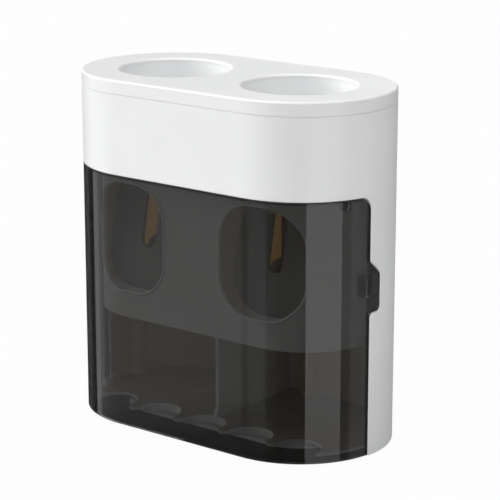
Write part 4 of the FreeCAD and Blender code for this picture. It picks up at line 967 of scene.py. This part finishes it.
class DISPENSER_OT_stage(bpy.types.Operator):
    """Makes the floor, the white backdrop, the lamps, the mirror cards and the camera"""
    bl_idname = "dispenser.stage"
    bl_label = "Studio"

    def execute(self, context):
        settings = context.scene.dispenser_stage
        self.make_floor(settings)
        self.make_world(settings)
        for name, aim in LAMPS.items():
            add_sun(name + "_lamp", getattr(settings, name), *aim)
        for card in CARDS:
            add_card(*card)
        self.make_camera(settings)
        context.scene.view_settings.view_transform = "Standard"
        return {"FINISHED"}

    def make_floor(self, settings):
        """A pale floor that the camera sees nearly white from above and not at all from below."""
        bpy.ops.object.select_all(action="DESELECT")
        bpy.ops.mesh.primitive_plane_add(size=FLOOR_SIZE, location=(0.0, 0.0, -FLOOR_GAP))
        floor = bpy.context.object
        floor.name = "studio_floor"
        floor.visible_glossy = False
        material, graph = bare_material("studio_floor")
        paper = graph.add("ShaderNodeBsdfDiffuse", {"Color": FLOOR_GREY})
        glow = graph.add("ShaderNodeEmission", {"Strength": 1.0})
        path = graph.add("ShaderNodeLightPath")
        share = graph.calculate("MULTIPLY", path.outputs["Is Camera Ray"], settings.floor_white)
        mixed = graph.mix_shaders(share, paper.outputs["BSDF"], glow.outputs["Emission"])
        below = graph.add("ShaderNodeNewGeometry").outputs["Backfacing"]
        clear = graph.add("ShaderNodeBsdfTransparent")
        one_way = graph.mix_shaders(below, mixed, clear.outputs["BSDF"])
        graph.feed(graph.add("ShaderNodeOutputMaterial").inputs["Surface"], one_way)
        floor.data.materials.append(material)

    def make_world(self, settings):
        """Soft light of the room, seen as white by the camera and through or in shiny surfaces."""
        world = bpy.data.worlds.new("studio_world")
        bpy.context.scene.world = world
        world.use_nodes = True
        world.node_tree.nodes.clear()
        graph = Graph(world.node_tree)
        path = graph.add("ShaderNodeLightPath")
        seen = graph.calculate("MAXIMUM", path.outputs["Is Camera Ray"], path.outputs["Is Transmission Ray"])
        seen = graph.calculate("MAXIMUM", seen, path.outputs["Is Glossy Ray"])
        strength = graph.spread(seen, 0.0, 1.0, settings.ambient, 1.0)
        sky = graph.add("ShaderNodeBackground", {"Color": WHITE, "Strength": strength})
        graph.feed(graph.add("ShaderNodeOutputWorld").inputs["Surface"], sky.outputs["Background"])

    def make_camera(self, settings):
        """The camera at the photograph's viewing angle."""
        lens = bpy.data.cameras.new("photo_camera")
        lens.lens = settings.lens
        lens.sensor_width = SENSOR_WIDTH
        lens.clip_start, lens.clip_end = CAMERA_REACH
        back = direction(settings.azimuth, settings.elevation)
        camera = place_aimed("photo_camera", lens, back)
        camera.location = Vector(settings.target) + back * settings.distance
        bpy.context.scene.camera = camera


OPERATORS = (DISPENSER_OT_shell, DISPENSER_OT_cover, DISPENSER_OT_inner, DISPENSER_OT_pumps,
             DISPENSER_OT_metal, DISPENSER_OT_beads, DISPENSER_OT_springs, DISPENSER_OT_screws,
             DISPENSER_OT_stage)


class DISPENSER_PT_panel(bpy.types.Panel):
    """Steps and settings of the dispenser's looks"""
    bl_idname = "DISPENSER_PT_panel"
    bl_label = "Toothpaste dispenser"
    bl_space_type = "VIEW_3D"
    bl_region_type = "UI"
    bl_category = "Dispenser"

    def draw(self, context):
        for operator in OPERATORS:
            self.layout.operator(operator.bl_idname)
        scene = context.scene
        for group in (scene.dispenser_finishes, scene.dispenser_sizes, scene.dispenser_stage):
            for name in group.__annotations__:
                self.layout.prop(group, name)


CLASSES = (DispenserFinishes, DispenserSizes, DispenserStage) + OPERATORS + (DISPENSER_PT_panel,)


def register():
    for item in CLASSES:
        bpy.utils.register_class(item)
    bpy.types.Scene.dispenser_finishes = PointerProperty(type=DispenserFinishes)
    bpy.types.Scene.dispenser_sizes = PointerProperty(type=DispenserSizes)
    bpy.types.Scene.dispenser_stage = PointerProperty(type=DispenserStage)


def unregister():
    del bpy.types.Scene.dispenser_stage
    del bpy.types.Scene.dispenser_sizes
    del bpy.types.Scene.dispenser_finishes
    for item in reversed(CLASSES):
        bpy.utils.unregister_class(item)


def main():
    register()
    bpy.ops.dispenser.shell()
    bpy.ops.dispenser.cover()
    bpy.ops.dispenser.inner()
    bpy.ops.dispenser.pumps()
    bpy.ops.dispenser.metal()
    bpy.ops.dispenser.beads()
    bpy.ops.dispenser.springs()
    bpy.ops.dispenser.screws()
    bpy.ops.dispenser.stage()


if __name__ == "__main__":
    main()
